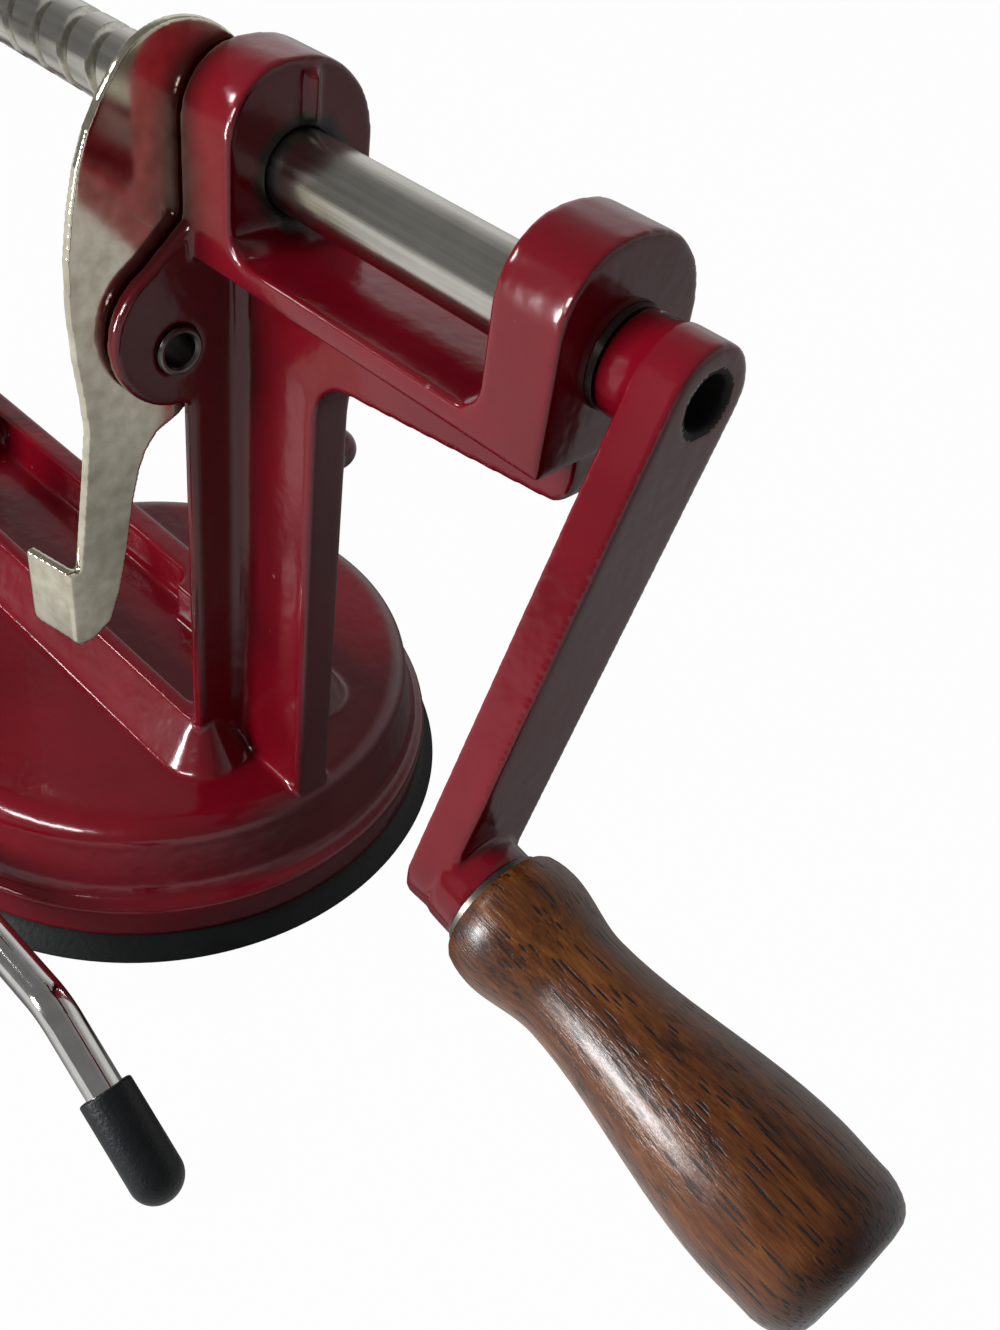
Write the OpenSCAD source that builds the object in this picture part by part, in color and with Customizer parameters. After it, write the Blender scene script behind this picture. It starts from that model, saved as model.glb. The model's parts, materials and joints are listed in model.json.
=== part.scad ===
// Hand-cranked apple peeler on a suction base. A threaded shaft carries the fruit past a sprung
// peeling arm and onto a coring and slicing blade. Millimetres, +Z up, origin on the table under
// the middle of the base, +X along the shaft towards the crank, -Y the front.

/* [Base] */
// Diameter of the foot flange
foot_d = 115; // [100:1:130]
// Height of the foot flange's top edge
foot_top = 12.5; // [9:0.5:16]
// How far the drum stands in from the foot flange
drum_inset = 2.7; // [1:0.1:6]
// Height of the drum's flat top
drum_h = 28.6; // [27.6:0.2:31]
// How far the drum's wall leans in up to its shoulder
wall_lean = 2.2; // [1:0.1:4]
// Radius of the drum's rounded shoulder
shoulder_r = 5; // [3:0.5:7]
// Thickness of the drum's wall and roof
base_wall = 4; // [3:0.5:6]
// How far the rubber cup spreads past the foot flange
cup_spread = 2.9; // [1:0.1:6]
// Thickness of the rubber cup's rim
cup_h = 4.7; // [3:0.1:7]
// Thickness of the rubber cup's skin
cup_skin = 2.2; // [1.5:0.1:3]

/* [Rail] */
// How far the rail reaches from the base's middle to its far end
rail_reach = 104; // [100:1:115]
// Height of the rail's top above the table
deck_h = 38; // [36:0.5:42]
// Width of the rail across its front rib and the column
rail_w = 26.8; // [25.6:0.2:32]
// How far the back rib stands out behind the column
back_out = 3.6; // [2:0.1:6]
// Thickness of the front rib
rib_t = 3; // [2:0.5:4]
// Thickness of the back rib
back_rib_t = 5.4; // [3:0.1:7]
// Thickness of the floor under the pockets
floor_t = 1.5; // [1.5:0.1:3]
// How much the trough narrows beside the column
trough_step = 4; // [2:0.5:6]
// Width of the slope that runs from the rail down to the drum
fairing_w = 5.6; // [4:0.2:8]

/* [Column] */
// Distance of the column's flange from the base's middle
column_x = 31.9; // [28:0.1:36]
// Thickness of the flange
flange_t = 2.6; // [2:0.1:5]
// Thickness of the web behind the flange
web_t = 7.6; // [5:0.2:10]
// Length of the web
web_l = 17; // [12:0.5:17.5]
// Radius of the fillets at the column
fillet_r = 3; // [1:0.5:5]

/* [Bridge] */
// Height of the shaft's axis above the table
shaft_h = 144; // [135:1:160]
// Width of the bearing bosses and the plate
boss_w = 25.2; // [22:0.2:32]
// Thickness of each bearing boss
boss_t = 11; // [8:0.2:14]
// Clear distance between the bosses
boss_gap = 48.4; // [40:0.2:60]
// Height of the bosses above the shaft's axis
boss_rise = 15.4; // [13.5:0.1:20]
// Radius of the bosses' upper front corner
boss_r = 10; // [4:0.5:12]
// Drop from the shaft's axis to the top of the plate
plate_drop = 9.4; // [7.5:0.1:12]
// Thickness of the plate
plate_t = 3.6; // [2.5:0.1:6]
// Depth of the beam under the plate at the column
beam_deep = 13.4; // [9:0.2:18]
// Depth of the beam under the plate at the outer boss
beam_shallow = 9; // [5:0.2:12]

/* [Shaft] */
// Diameter of the shaft
shaft_d = 12; // [10:0.5:14]
// Lead of the groove for one turn of the crank
pitch = 7.75; // [6.5:0.05:9]
// Turns of the crank over the whole travel
turns = 11.5; // [9:0.5:12]
// Width of the groove along the shaft
groove_w = 2.6; // [2.4:0.1:3.4]
// Depth of the groove
groove_deep = 1.4; // [1.2:0.1:2]

/* [Crank] */
// Distance from the shaft to the handle's axis
crank_r = 68.7; // [55:0.1:80]
// Angle of the crank from straight down, towards the front
crank_lean = 23; // [0:1:45]
// Width of the arm at the shaft
arm_w = 14.6; // [13.5:0.1:20]
// Thickness of the arm
arm_t = 6.7; // [5:0.1:9]
// Length of the collar behind the arm
collar_l = 4.9; // [3:0.1:8]
// Thickness of the thrust washer
washer_t = 1; // [0.6:0.1:2]

/* [Grip] */
// Length of the wooden grip
grip_l = 60; // [50:0.2:80]
// Largest diameter of the grip
grip_d = 23.2; // [20:0.2:30]
// Angle at which the grip leans outward along the arm
grip_lean = 6; // [0:0.5:10]
// Diameter of the pin that the grip turns on
pin_d = 6; // [4:0.5:8]

/* [Release lever] */
// Thickness of the lever plate
lever_t = 1.5; // [1.2:0.1:1.6]
// Height of the pivot above the table
pivot_h = 117.2; // [115:0.2:120]
// Distance of the pivot in front of the shaft's axis
pivot_front = 15.3; // [14:0.1:17]
// Outer radius of the eyelet that the lever turns on
eyelet_r = 3.4; // [2.5:0.1:4]
// Length of the thumb tab
tab_l = 9.5; // [6:0.5:14]
// Length of the release lever below its pivot
lever_drop = 50; // [46:1:54]

/* [Suction lever] */
// Diameter of the lever's rod
rod_d = 6.5; // [5:0.1:7]
// Height of the rod's axis where it enters the base
rod_h = 20.5; // [20:0.1:21]
// Length of the level part of the lever
rod_level = 60; // [52:1:62]
// Length of the drooping part up to its round end
rod_droop_l = 32; // [28:0.5:34]
// Rise of the level part away from the base
rod_rise = 2.4; // [1.5:0.1:4]
// Angle of the drooping part
rod_droop = 31; // [24:1:32]
// Diameter of the cap
cap_d = 9.3; // [8.5:0.1:10]
// Length of the cap without its round end
cap_l = 16; // [10:0.5:20]
// Offset of the cam that lifts the cup
cam_offset = 1; // [0.8:0.1:1.2]

/* [Fork and blade] */
// Length of the fork's prongs
prong_l = 18; // [14:1:24]
// Radius of the circle that the prongs stand on
prong_circle = 6; // [5:0.1:6.5]
// Inner radius of the coring ring
corer_r = 10.3; // [9.5:0.1:14]
// Thickness of the blade
blade_t = 1.2; // [0.8:0.1:2]
// Width of the blade
blade_w = 16; // [12:0.5:18]
// Thickness of the blade's bracket
bracket_t = 2.5; // [2:0.1:4]
// Diameter of the clamping bolt
bolt_d = 6; // [5:0.5:6.5]
// Travel of the bracket each way under the clamping nut
blade_travel = 3; // [2:0.5:4]

/* [Peeling arm] */
// Distance of the arm's pivot in front of the rail
arm_pivot_out = 8.6; // [8:0.2:12]
// Thickness of the arm
peel_t = 4; // [3:0.5:5]
// Outward lean of the arm at rest
peel_lean = 5.5; // [2:0.5:10]
// Diameter of the pivot pin
peel_pin_d = 5; // [4:0.5:6]
// Wire diameter of the springs
wire_d = 1.2; // [0.9:0.1:1.3]

/* [Clearances] */
// Radial clearance of a turning fit
run_fit = 0.08; // [0.03:0.01:0.1]
// Gap between faces that pass each other
face_gap = 0.4; // [0.3:0.05:0.6]
// Play of the yoke round the cam
yoke_play = 0.5; // [0.45:0.05:0.8]

/* [Hidden] */
$fn = 96;
eps = 0.01;
big = 400;
foot_r = foot_d / 2;
drum_r = foot_r - drum_inset;
top_r = drum_r - wall_lean;
cavity_r = top_r - base_wall;
roof_z = drum_h - base_wall;
cup_r = foot_r + cup_spread;
cup_wall = base_wall + drum_inset + 2;

rod_r = rod_d / 2;
rod_y = -drum_r - 3 - rod_r;
bend_r = 8;
droop_r = 12;
droop_turn = rod_droop + rod_rise;
droop_in = droop_r * tan(droop_turn / 2);
bearing_r = rod_r + 3.5;
bearing_in = -17;
inner_rod_r = 2.2;
cam_r = inner_rod_r + cam_offset + 0.3;
cam_w = 9;
inner_rod_end = cam_w / 2 + 3;
cap_r = cap_d / 2;
yoke_w = 7;
yoke_half = cam_r + cam_offset + yoke_play + 2.4;
yoke_low = rod_h - cam_offset - cam_r - yoke_play;
yoke_high = rod_h - cam_offset + cam_r + yoke_play;
yoke_bar = 1.5;
yoke_room = 0.6;

rail_top = deck_h;
rail_half = rail_w / 2;
rail_front = -rail_half;
rail_back = rail_half + back_out;
rail_z = yoke_high + yoke_bar + 2 * cam_offset + yoke_room;
pocket_z = rail_z + floor_t;
pocket_front = rail_front + rib_t;
pocket_back = rail_back - back_rib_t;
recess_r = 11.5;
pocket_end = column_x - 2.4;
trough_mid = -3;
trough_back = pocket_back - trough_step;
pad_x = -drum_r - 5.2;
fairing_x = -sqrt(pow(top_r - shoulder_r - 1, 2) - pow(rail_back + fairing_w, 2));
toe_r = 3;
edge_r = 1;
deck_end = top_r - 1.6;

web_x = column_x + flange_t;
web_end = web_x + web_l;
plate_top = shaft_h - plate_drop;
plate_z = plate_top - plate_t;
outer_x = column_x + boss_t + boss_gap;
bridge_end = outer_x + boss_t;
boss_top = shaft_h + boss_rise;
boss_fillet = 4;
lug_r = 12;
lug_y = -pivot_front + 1.3;
lug_z = pivot_h + 2.3;

shaft_r = shaft_d / 2;
bore_r = shaft_r + run_fit;
travel = pitch * turns;
lever_x1 = column_x - face_gap;
lever_x0 = lever_x1 - lever_t;
collar_x = bridge_end + washer_t + 2 * 0.05;
spigot_r = shaft_r - 2.4;
screw_end = lever_x1 + 2.5;
fork_x1 = lever_x0 - travel - 4;
fork_t = 6;
fork_x0 = fork_x1 - fork_t;
fork_r = prong_circle + 2;
prong_r = 1.3;
prong_tip = 3;
pin_seat = 2.5;
fork_pin_r = 1.4;

arm_x0 = collar_x + collar_l;
arm_x1 = arm_x0 + arm_t;
arm_end_r = arm_w / 2 - 0.6;
collar_r = arm_w / 2 - 0.4;
spigot_l = collar_l + arm_t - 4;
seat_l = 3.5;
seat_r = 7.2;
hand_washer_t = 0.8;
hand_washer_r = 7.6;
grip_start = seat_l + hand_washer_t + 0.1;
pin_r = pin_d / 2;
pin_l = grip_start + grip_l - 9;

tooth_angle = 150;
tooth_r = 1.1;
tooth_reach = 0.85;
head_r = 12.5;
head_y = -pivot_front + 3.8;
head_z = shaft_h + 5.9;
notch_r = shaft_r + 1.3;
tab_h = 14;
tab_lean = 11;
eyelet_hole = eyelet_r - 0.7;
eyelet_head_r = eyelet_r + 0.5;
eyelet_head_t = 0.8;

spring_r = eyelet_r + run_fit + 0.7 + wire_d / 2;
spring_gap = 0.6;
spring_pitch = wire_d + spring_gap;
spring_turns = 3;
spring_l = spring_pitch * spring_turns + wire_d;
eyelet_end = lever_x0 - face_gap - spring_l - 0.2;

ring_t = 1.2;
ring_l = 10;
blade_x1 = fork_x0 - 5.5;
bracket_x1 = blade_x1 - blade_t;
bracket_x0 = bracket_x1 - bracket_t;
bracket_h = 42;
bracket_top = rail_top + bracket_h;
foot_x0 = -rail_reach + 2;
bolt_r = bolt_d / 2;
nut_r = bolt_r + 2.5;
wing_r = 3.5;
wing_reach = nut_r + 2 + wing_r;
bolt_x = bracket_x0 - wing_reach - blade_travel - 1;
slot_half = blade_travel + bolt_r + 0.3;
trough_x = bolt_x + wing_reach;
blade_low = bracket_top - 18;
rivet_r = 2;
clamp_t = 1.4;
seat_gap = 0.1;
rivet_zs = [blade_low + 5, bracket_top - 5];
nut_z = rail_top + bracket_t + seat_gap + clamp_t;
nut_h = 6;

peel_y = rail_front - arm_pivot_out;
peel_z = rail_top + 3;
peel_hub_r = peel_pin_d / 2 + 3;
stop_y = peel_y + peel_hub_r + 0.35;
stop_h = 6;
ear_r = 6;
ear_t = 4;
ear_x0 = pad_x - 6;
peel_x0 = ear_x0 + ear_t + face_gap;
peel_x1 = peel_x0 + peel_t;
peel_spring_x = peel_x1 + face_gap;
ear_x1 = peel_spring_x + spring_l + 0.3;
peel_pin_r = peel_pin_d / 2;
peel_spring_r = peel_pin_r + 0.7 + wire_d / 2;
peel_reach = shaft_h - peel_z;
head_w = 8;
head_h = 18;
peel_head_y = peel_y - peel_reach * tan(peel_lean);
peel_face = peel_head_y + head_w / 2;
peel_ring_r = 7;
peel_strip_t = 0.8;
peel_mid = (peel_x0 + peel_x1) / 2;
peel_blade_w = 10;
peel_screw_r = 1.6;

function smooth(t) = t * t * (3 - 2 * t);
function mix(a, b, t) = a + (b - a) * smooth(t);
function coil_point(i, s, r, p, w) =
    let (a = 45 * i, b = 60 * s, q = r + w * cos(b))
    [p * i / 8 + w * sin(b), q * cos(a), q * sin(a)];
function coil_gap(r, p, w) = min([for (s = [0:5]) for (t = [0:5])
    norm(coil_point(0, s, r, p, w) - coil_point(8, t, r, p, w))]);

// Draws a flat shape given in Y and Z and gives it a length along X
module along_x(x0, len) {
    translate([x0, 0, 0]) rotate([90, 0, 90]) linear_extrude(len) children();
}

// Draws a flat shape given in X and Z and gives it a length along Y
module along_y(y0, len) {
    translate([0, y0 + len, 0]) rotate([90, 0, 0]) linear_extrude(len) children();
}

module rod_x(x0, x1, y, z, r) {
    translate([x0, y, z]) rotate([0, 90, 0]) cylinder(h = x1 - x0, r = r);
}

module rod_y_way(y0, y1, x, z, r) {
    translate([x, y0, z]) rotate([-90, 0, 0]) cylinder(h = y1 - y0, r = r);
}

module rounded_bar(x0, x1, y0, y1, r) {
    translate([x0 + r, y0]) square([x1 - x0 - 2 * r, y1 - y0]);
    translate([x0, y0 + r]) square([x1 - x0, y1 - y0 - 2 * r]);
    for (x = [x0 + r, x1 - r]) for (y = [y0 + r, y1 - r]) translate([x, y]) circle(r);
}

// A concave corner fillet that fills the corner at the origin
module corner_fill(r) {
    difference() {
        translate([-eps, -eps]) square(r + eps);
        translate([r, r]) circle(r);
    }
}

// A coil of round wire wound along X from the origin
module coil(r, p, w, n) {
    rings = 8 * n;
    points = [for (i = [0:rings]) for (s = [0:5]) coil_point(i, s, r, p, w)];
    sides = [for (i = [0:rings - 1]) for (s = [0:5])
        [6 * i + s, 6 * i + (s + 1) % 6, 6 * i + 6 + (s + 1) % 6, 6 * i + 6 + s]];
    first = [[5, 4, 3, 2, 1, 0]];
    last = [[for (s = [0:5]) 6 * rings + s]];
    polyhedron(points, concat(sides, first, last), convexity = 8);
}

module drum_profile() {
    step_r = drum_inset * 0.7;
    shoulder_z = drum_h - shoulder_r;
    difference() {
        union() {
            square([top_r - shoulder_r, drum_h]);
            polygon([[0, 0], [drum_r, 0], [drum_r, foot_top], [top_r, shoulder_z], [0, shoulder_z]]);
            translate([top_r - shoulder_r, shoulder_z]) circle(shoulder_r);
            square([foot_r, foot_top - 1]);
            square([foot_r - 1, foot_top]);
            translate([foot_r - 1, foot_top - 1]) circle(1);
            translate([drum_r, foot_top]) corner_fill(step_r);
        }
        translate([0, -1]) square([foot_r + 1, cup_h + 1]);
        square([cavity_r, roof_z]);
        square([recess_r, rail_z]);
        translate([-shoulder_r - 1, -1]) square([shoulder_r + 1, drum_h + 2]);
    }
}

module rail_plan() {
    rounded_bar(-rail_reach, 0, rail_front, rail_back, 8);
    translate([pad_x, rail_front]) square([web_x - toe_r - pad_x, rail_back - rail_front]);
    rounded_bar(0, web_x, rail_front, rail_back, toe_r);
}

module pockets() {
    translate([0, 0, pocket_z]) linear_extrude(big) {
        rounded_bar(trough_x, trough_mid, pocket_front, pocket_back, 4);
        rounded_bar(trough_x, pocket_end, pocket_front, trough_back, 4);
    }
}

module fairing(side) {
    edge = side < 0 ? rail_front : rail_back;
    toe_x = web_x - toe_r;
    along_x(fairing_x, toe_x - fairing_x)
        polygon([[edge - side, drum_h - 1], [edge - side, rail_top], [edge, rail_top],
            [edge + side * fairing_w, drum_h], [edge + side * fairing_w, drum_h - 1]]);
    translate([toe_x, edge - side * toe_r, drum_h - 1]) cylinder(h = 1, r = toe_r + fairing_w);
    translate([toe_x, edge - side * toe_r, drum_h])
        cylinder(h = rail_top - drum_h, r1 = toe_r + fairing_w, r2 = toe_r);
}

module ear(x0) {
    along_x(x0, ear_t) {
        translate([peel_y, peel_z]) circle(ear_r);
        polygon([[peel_y - ear_r * 0.8, peel_z - ear_r * 0.6], [rail_front - 2, rail_z + 1],
            [rail_front + 1, rail_z + 1], [rail_front + 1, rail_top],
            [peel_y + ear_r * 0.6, peel_z + ear_r * 0.8]]);
    }
}

module base_casting() {
    color("firebrick") difference() {
        union() {
            rotate_extrude() drum_profile();
            translate([0, 0, rail_z]) linear_extrude(rail_top - rail_z) rail_plan();
            fairing(-1);
            fairing(1);
            translate([column_x, -web_t / 2, roof_z]) cube([deck_end - column_x, web_t, rail_top - roof_z]);
            rod_y_way(-drum_r + 1, bearing_in, 0, rod_h, bearing_r);
            ear(ear_x0);
            ear(ear_x1);
            translate([peel_x0, stop_y, rail_z + 2])
                cube([peel_t, rail_front + 1 - stop_y, peel_z + stop_h - rail_z - 2]);
        }
        pockets();
        rod_y_way(-drum_r - 5, bearing_in + 5, 0, rod_h, rod_r + run_fit);
        translate([bolt_x, 0, 0]) cylinder(h = big, r = bolt_r);
        rod_x(ear_x0 - 1, ear_x1 + ear_t + 1, peel_y, peel_z, peel_pin_r);
    }
}

// Front outline of the two bosses and the plate between them
module bridge_front() {
    gap_x = column_x + boss_t;
    difference() {
        translate([column_x, plate_z]) square([bridge_end - column_x, boss_top - plate_z]);
        translate([gap_x, plate_top + boss_fillet]) square([boss_gap, boss_top]);
        translate([gap_x + boss_fillet, plate_top]) square([boss_gap - 2 * boss_fillet, boss_top]);
        for (x = [gap_x + boss_fillet, gap_x + boss_gap - boss_fillet])
            translate([x, plate_top + boss_fillet]) circle(boss_fillet);
    }
}

// Arched end outline of the bosses, fuller at the back corner
module boss_arch() {
    half = boss_w / 2;
    back_r = half;
    translate([-half, plate_z]) square([half, boss_top - plate_z - boss_r]);
    translate([0, plate_z]) square([half, boss_top - plate_z - back_r]);
    translate([-half + boss_r, plate_z]) square([boss_w - boss_r - back_r, boss_top - plate_z]);
    translate([-half + boss_r, boss_top - boss_r]) circle(boss_r);
    translate([half - back_r, boss_top - back_r]) circle(back_r);
}

module beam_side() {
    round_r = 4;
    low = plate_z - beam_deep;
    high = plate_z - beam_shallow;
    arch_r = 8;
    x_end = bridge_end - 1.5;
    polygon([[web_x, plate_z + 1], [x_end, plate_z + 1], [x_end, high + round_r],
        [x_end - round_r, high], [web_end + arch_r, low], [web_x, low]]);
    translate([x_end - round_r, high + round_r]) circle(round_r);
    translate([web_end, low]) mirror([0, 1]) corner_fill(arch_r);
}

module column_plan() {
    half = web_t / 2;
    translate([column_x, rail_front]) square([flange_t, rail_w]);
    translate([column_x + 1, -half]) square([flange_t - 1 + web_l - edge_r, web_t]);
    translate([column_x + 1, -half + edge_r]) square([flange_t - 1 + web_l, web_t - 2 * edge_r]);
    for (s = [-1, 1]) translate([web_end - edge_r, s * (half - edge_r)]) circle(edge_r);
    translate([web_x, half]) corner_fill(fillet_r);
    translate([web_x, -half]) mirror([0, 1]) corner_fill(fillet_r);
}

module upright_casting() {
    bump_r = 3.5;
    bump_l = 2.7;
    color("firebrick") difference() {
        union() {
            translate([0, 0, rail_top]) linear_extrude(plate_z - rail_top + 1) column_plan();
            along_y(-web_t / 2, web_t) beam_side();
            intersection() {
                along_y(-boss_w, 2 * boss_w) bridge_front();
                along_x(column_x - 1, big) boss_arch();
            }
            along_x(column_x, flange_t) {
                translate([lug_y, lug_z]) circle(lug_r);
                polygon([[lug_y + 2.4, plate_top + 2.4], [lug_y - 9.6, lug_z + 7.2], [lug_y, lug_z],
                    [lug_y + 6, lug_z], [lug_y + 6, plate_top + 2.4]]);
            }
            translate([web_end - 5, web_t / 2 - 1, plate_z - 28.6 - bump_r]) {
                rotate([-90, 0, 0]) cylinder(h = bump_l, r = bump_r);
                translate([0, bump_l, 0]) sphere(bump_r);
            }
        }
        rod_x(column_x - 1, bridge_end + 1, 0, shaft_h, bore_r);
        rod_x(column_x - 1, web_x + 1, -pivot_front, pivot_h, eyelet_r);
    }
}

module suction_cup() {
    color("dimgray") rotate_extrude() {
        difference() {
            polygon([[0, 0], [cup_r, 0], [cup_r, 0.8], [foot_r - 0.3, cup_h], [0, cup_h]]);
            translate([-1, cup_skin]) square([foot_r - cup_wall + 1, cup_h]);
        }
    }
}

// Turns the outer lever up about its pivot
module lever_turn() {
    translate([0, rod_y, rod_h]) rotate([0, -rod_rise, 0]) children();
}

module droop_line() {
    lever_turn() translate([rod_level, 0, 0]) rotate([0, 90 + droop_turn, 0]) children();
}

module suction_rod() {
    color("silver") {
        rod_y_way(bearing_in, inner_rod_end, 0, rod_h, inner_rod_r);
        lever_turn() {
            translate([0, bend_r, 0]) rotate([-90, 0, 0]) rotate([0, 0, 90])
                cylinder(h = bearing_in - rod_y - bend_r, r = rod_r);
            translate([bend_r, bend_r, 0]) rotate([0, 0, 180]) rotate_extrude(angle = 90)
                translate([bend_r, 0]) rotate(-90) circle(rod_r);
            rod_x(bend_r, rod_level - droop_in, 0, 0, rod_r);
            translate([rod_level - droop_in, 0, -droop_r])
                rotate([90, 0, 0]) rotate([0, 0, 90 - droop_turn])
                rotate_extrude(angle = droop_turn) translate([droop_r, 0]) rotate(180) circle(rod_r);
        }
        droop_line() translate([0, 0, droop_in]) cylinder(h = rod_droop_l - 1 - droop_in, r = rod_r);
    }
}

module lever_cap() {
    color("black") difference() {
        droop_line() {
            translate([0, 0, rod_droop_l - cap_l]) cylinder(h = cap_l, r = cap_r);
            translate([0, 0, rod_droop_l]) sphere(cap_r);
        }
        droop_line() cylinder(h = rod_droop_l - 1, r = rod_r);
    }
}

module lift_cam() {
    color("gray") difference() {
        rod_y_way(-cam_w / 2, cam_w / 2, 0, rod_h - cam_offset, cam_r);
        rod_y_way(-cam_w, cam_w, 0, rod_h, inner_rod_r);
    }
}

module cup_yoke() {
    slot = yoke_half - 2.4;
    color("gray") {
        along_y(-yoke_w / 2, yoke_w) difference() {
            translate([-yoke_half, yoke_low - yoke_bar])
                square([2 * yoke_half, yoke_high - yoke_low + 2 * yoke_bar]);
            translate([-slot, yoke_low]) square([2 * slot, yoke_high - yoke_low]);
        }
        translate([0, 0, cup_skin + 1.5]) cylinder(h = yoke_low - yoke_bar - cup_skin - 1, r = 3.2);
        translate([0, 0, cup_skin]) cylinder(h = 2, r = 16);
    }
}

// Outline of the release lever's plate in Y and Z
module lever_outline() {
    low = pivot_h - lever_drop;
    k = lever_drop / 50;
    shank = -pivot_front - 13.7;
    left = -pivot_front - 15.4;
    difference() {
        union() {
            translate([head_y, head_z]) circle(head_r);
            polygon([[left + 9, shaft_h + 13], [left + 6.6, shaft_h + 9.8], [left + 4.6, shaft_h + 6.4],
                [left + 2.7, shaft_h + 1.6], [left + 1.3, shaft_h - 4], [left + 0.2, shaft_h - 10.7],
                [left - 0.1, shaft_h - 18], [left + 0.2, pivot_h + 1], [left + 0.9, pivot_h - 5.7 * k],
                [left + 1.2, pivot_h - 11 * k], [left + 0.1, pivot_h - 19.2 * k],
                [left - 1.2, pivot_h - 28 * k], [left - 2.2, pivot_h - 35 * k],
                [left - 4, pivot_h - 36 * k], [left - 4.3, low + 1], [left - 3.6, low],
                [shank - 2.5, low], [shank + 1, low + 2.4], [shank + 3, pivot_h - 42.2 * k],
                [shank + 4.8, pivot_h - 34.8 * k], [shank + 6.5, pivot_h - 25.7 * k],
                [shank + 7.9, pivot_h - 20.6 * k], [shank + 9.3, pivot_h - 17.4 * k],
                [shank + 11.4, pivot_h - 14.9 * k], [shank + 15.2, pivot_h - 13.2 * k],
                [-pivot_front + 7, pivot_h - 9 * k], [-pivot_front + 8, pivot_h],
                [-notch_r, shaft_h - 10], [-notch_r, shaft_h]]);
        }
        translate([0, shaft_h]) circle(notch_r);
        translate([-2.5, shaft_h - 8]) circle(notch_r);
        translate([0, shaft_h - 20]) square([big, 20 + notch_r]);
        translate([-2.5, shaft_h - 26]) square([big, 20]);
        translate([-pivot_front, pivot_h]) circle(eyelet_r + run_fit);
    }
    tooth_at = shaft_r - tooth_reach + tooth_r;
    translate([0, shaft_h]) rotate(tooth_angle) {
        translate([tooth_at, 0]) circle(tooth_r);
        translate([tooth_at, -tooth_r]) square([notch_r - tooth_at + 1.5, 2 * tooth_r]);
    }
}

module release_lever() {
    tab_z = pivot_h - lever_drop + 1;
    tab_y = -pivot_front - 19.7;
    corner = 1.6;
    color("silver") {
        along_x(lever_x0, lever_t) lever_outline();
        translate([lever_x1, tab_y, tab_z]) rotate([0, 0, 180 + tab_lean])
            rotate([90, 0, 0]) linear_extrude(lever_t) {
                translate([0, corner]) square([tab_l, tab_h - corner]);
                square([tab_l - corner, tab_h]);
                translate([tab_l - corner, corner]) circle(corner);
            }
    }
}

module lever_eyelet() {
    color("silver") difference() {
        union() {
            rod_x(eyelet_end, web_x, -pivot_front, pivot_h, eyelet_r);
            rod_x(web_x, web_x + eyelet_head_t, -pivot_front, pivot_h, eyelet_head_r);
            rod_x(eyelet_end - eyelet_head_t, eyelet_end, -pivot_front, pivot_h, spring_r + wire_d);
        }
        rod_x(eyelet_end - 2, web_x + 2, -pivot_front, pivot_h, eyelet_hole);
    }
}

module lever_spring() {
    echo("lever spring least gap", coil_gap(spring_r, spring_pitch, wire_d / 2));
    color("silver") translate([eyelet_end + 0.1 + wire_d / 2, -pivot_front, pivot_h])
        coil(spring_r, spring_pitch, wire_d / 2, spring_turns);
}

module thrust_washer() {
    color("silver") difference() {
        rod_x(bridge_end + 0.05, bridge_end + 0.05 + washer_t, 0, shaft_h, collar_r);
        rod_x(bridge_end - 1, collar_x + 1, 0, shaft_h, bore_r);
    }
}

module drive_shaft() {
    color("silver") {
        rod_x(screw_end, collar_x, 0, shaft_h, shaft_r);
        rod_x(collar_x, collar_x + spigot_l, 0, shaft_h, spigot_r);
    }
}

// Section of the threaded length: a round bar with one notch
module screw_section() {
    spread = 360 * groove_w / pitch / 2;
    floor_r = shaft_r - groove_deep;
    arc = [for (k = [0:10]) spread + (360 - 2 * spread) * k / 10];
    notch = [for (k = [0:3]) -spread + 2 * spread * k / 3];
    polygon(concat([for (a = arc) shaft_r * [cos(a), sin(a)]],
        [for (a = notch) floor_r * [cos(a), sin(a)]]));
}

module feed_screw() {
    screw_l = screw_end - fork_x1;
    tooth_x = (lever_x0 + lever_x1) / 2;
    sweep = 360 * screw_l / pitch;
    start = tooth_angle - 360 * (tooth_x - fork_x1) / pitch;
    steps = ceil(screw_l / pitch * 12);
    color("silver") translate([fork_x1, 0, shaft_h]) rotate([90, 0, 90])
        linear_extrude(screw_l, twist = -sweep, slices = steps, $fn = 12)
            rotate(start) screw_section();
}

module fruit_fork() {
    color("silver") {
        difference() {
            rod_x(fork_x0, fork_x1, 0, shaft_h, fork_r);
            translate([(fork_x0 + fork_x1) / 2, 0, shaft_h + fork_r - pin_seat])
                cylinder(h = big, r = fork_pin_r);
        }
        for (k = [0:2]) translate([fork_x0, 0, shaft_h]) rotate([120 * k, 0, 0])
            translate([0, 0, prong_circle]) rotate([0, -90, 0]) {
                translate([0, 0, -1]) cylinder(h = prong_l - prong_tip + 1, r = prong_r);
                translate([0, 0, prong_l - prong_tip]) cylinder(h = prong_tip, r1 = prong_r, r2 = 0.2);
            }
    }
}

module fork_pin() {
    color("gray") translate([(fork_x0 + fork_x1) / 2, 0, shaft_h + fork_r - pin_seat])
        cylinder(h = pin_seat + 0.6, r = fork_pin_r);
}

module crank_place() {
    translate([0, 0, shaft_h]) rotate([-crank_lean, 0, 0]) children();
}

module handle_place() {
    crank_place() translate([arm_x1, 0, -crank_r]) rotate([0, grip_lean, 0]) rotate([0, 90, 0]) children();
}

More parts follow.
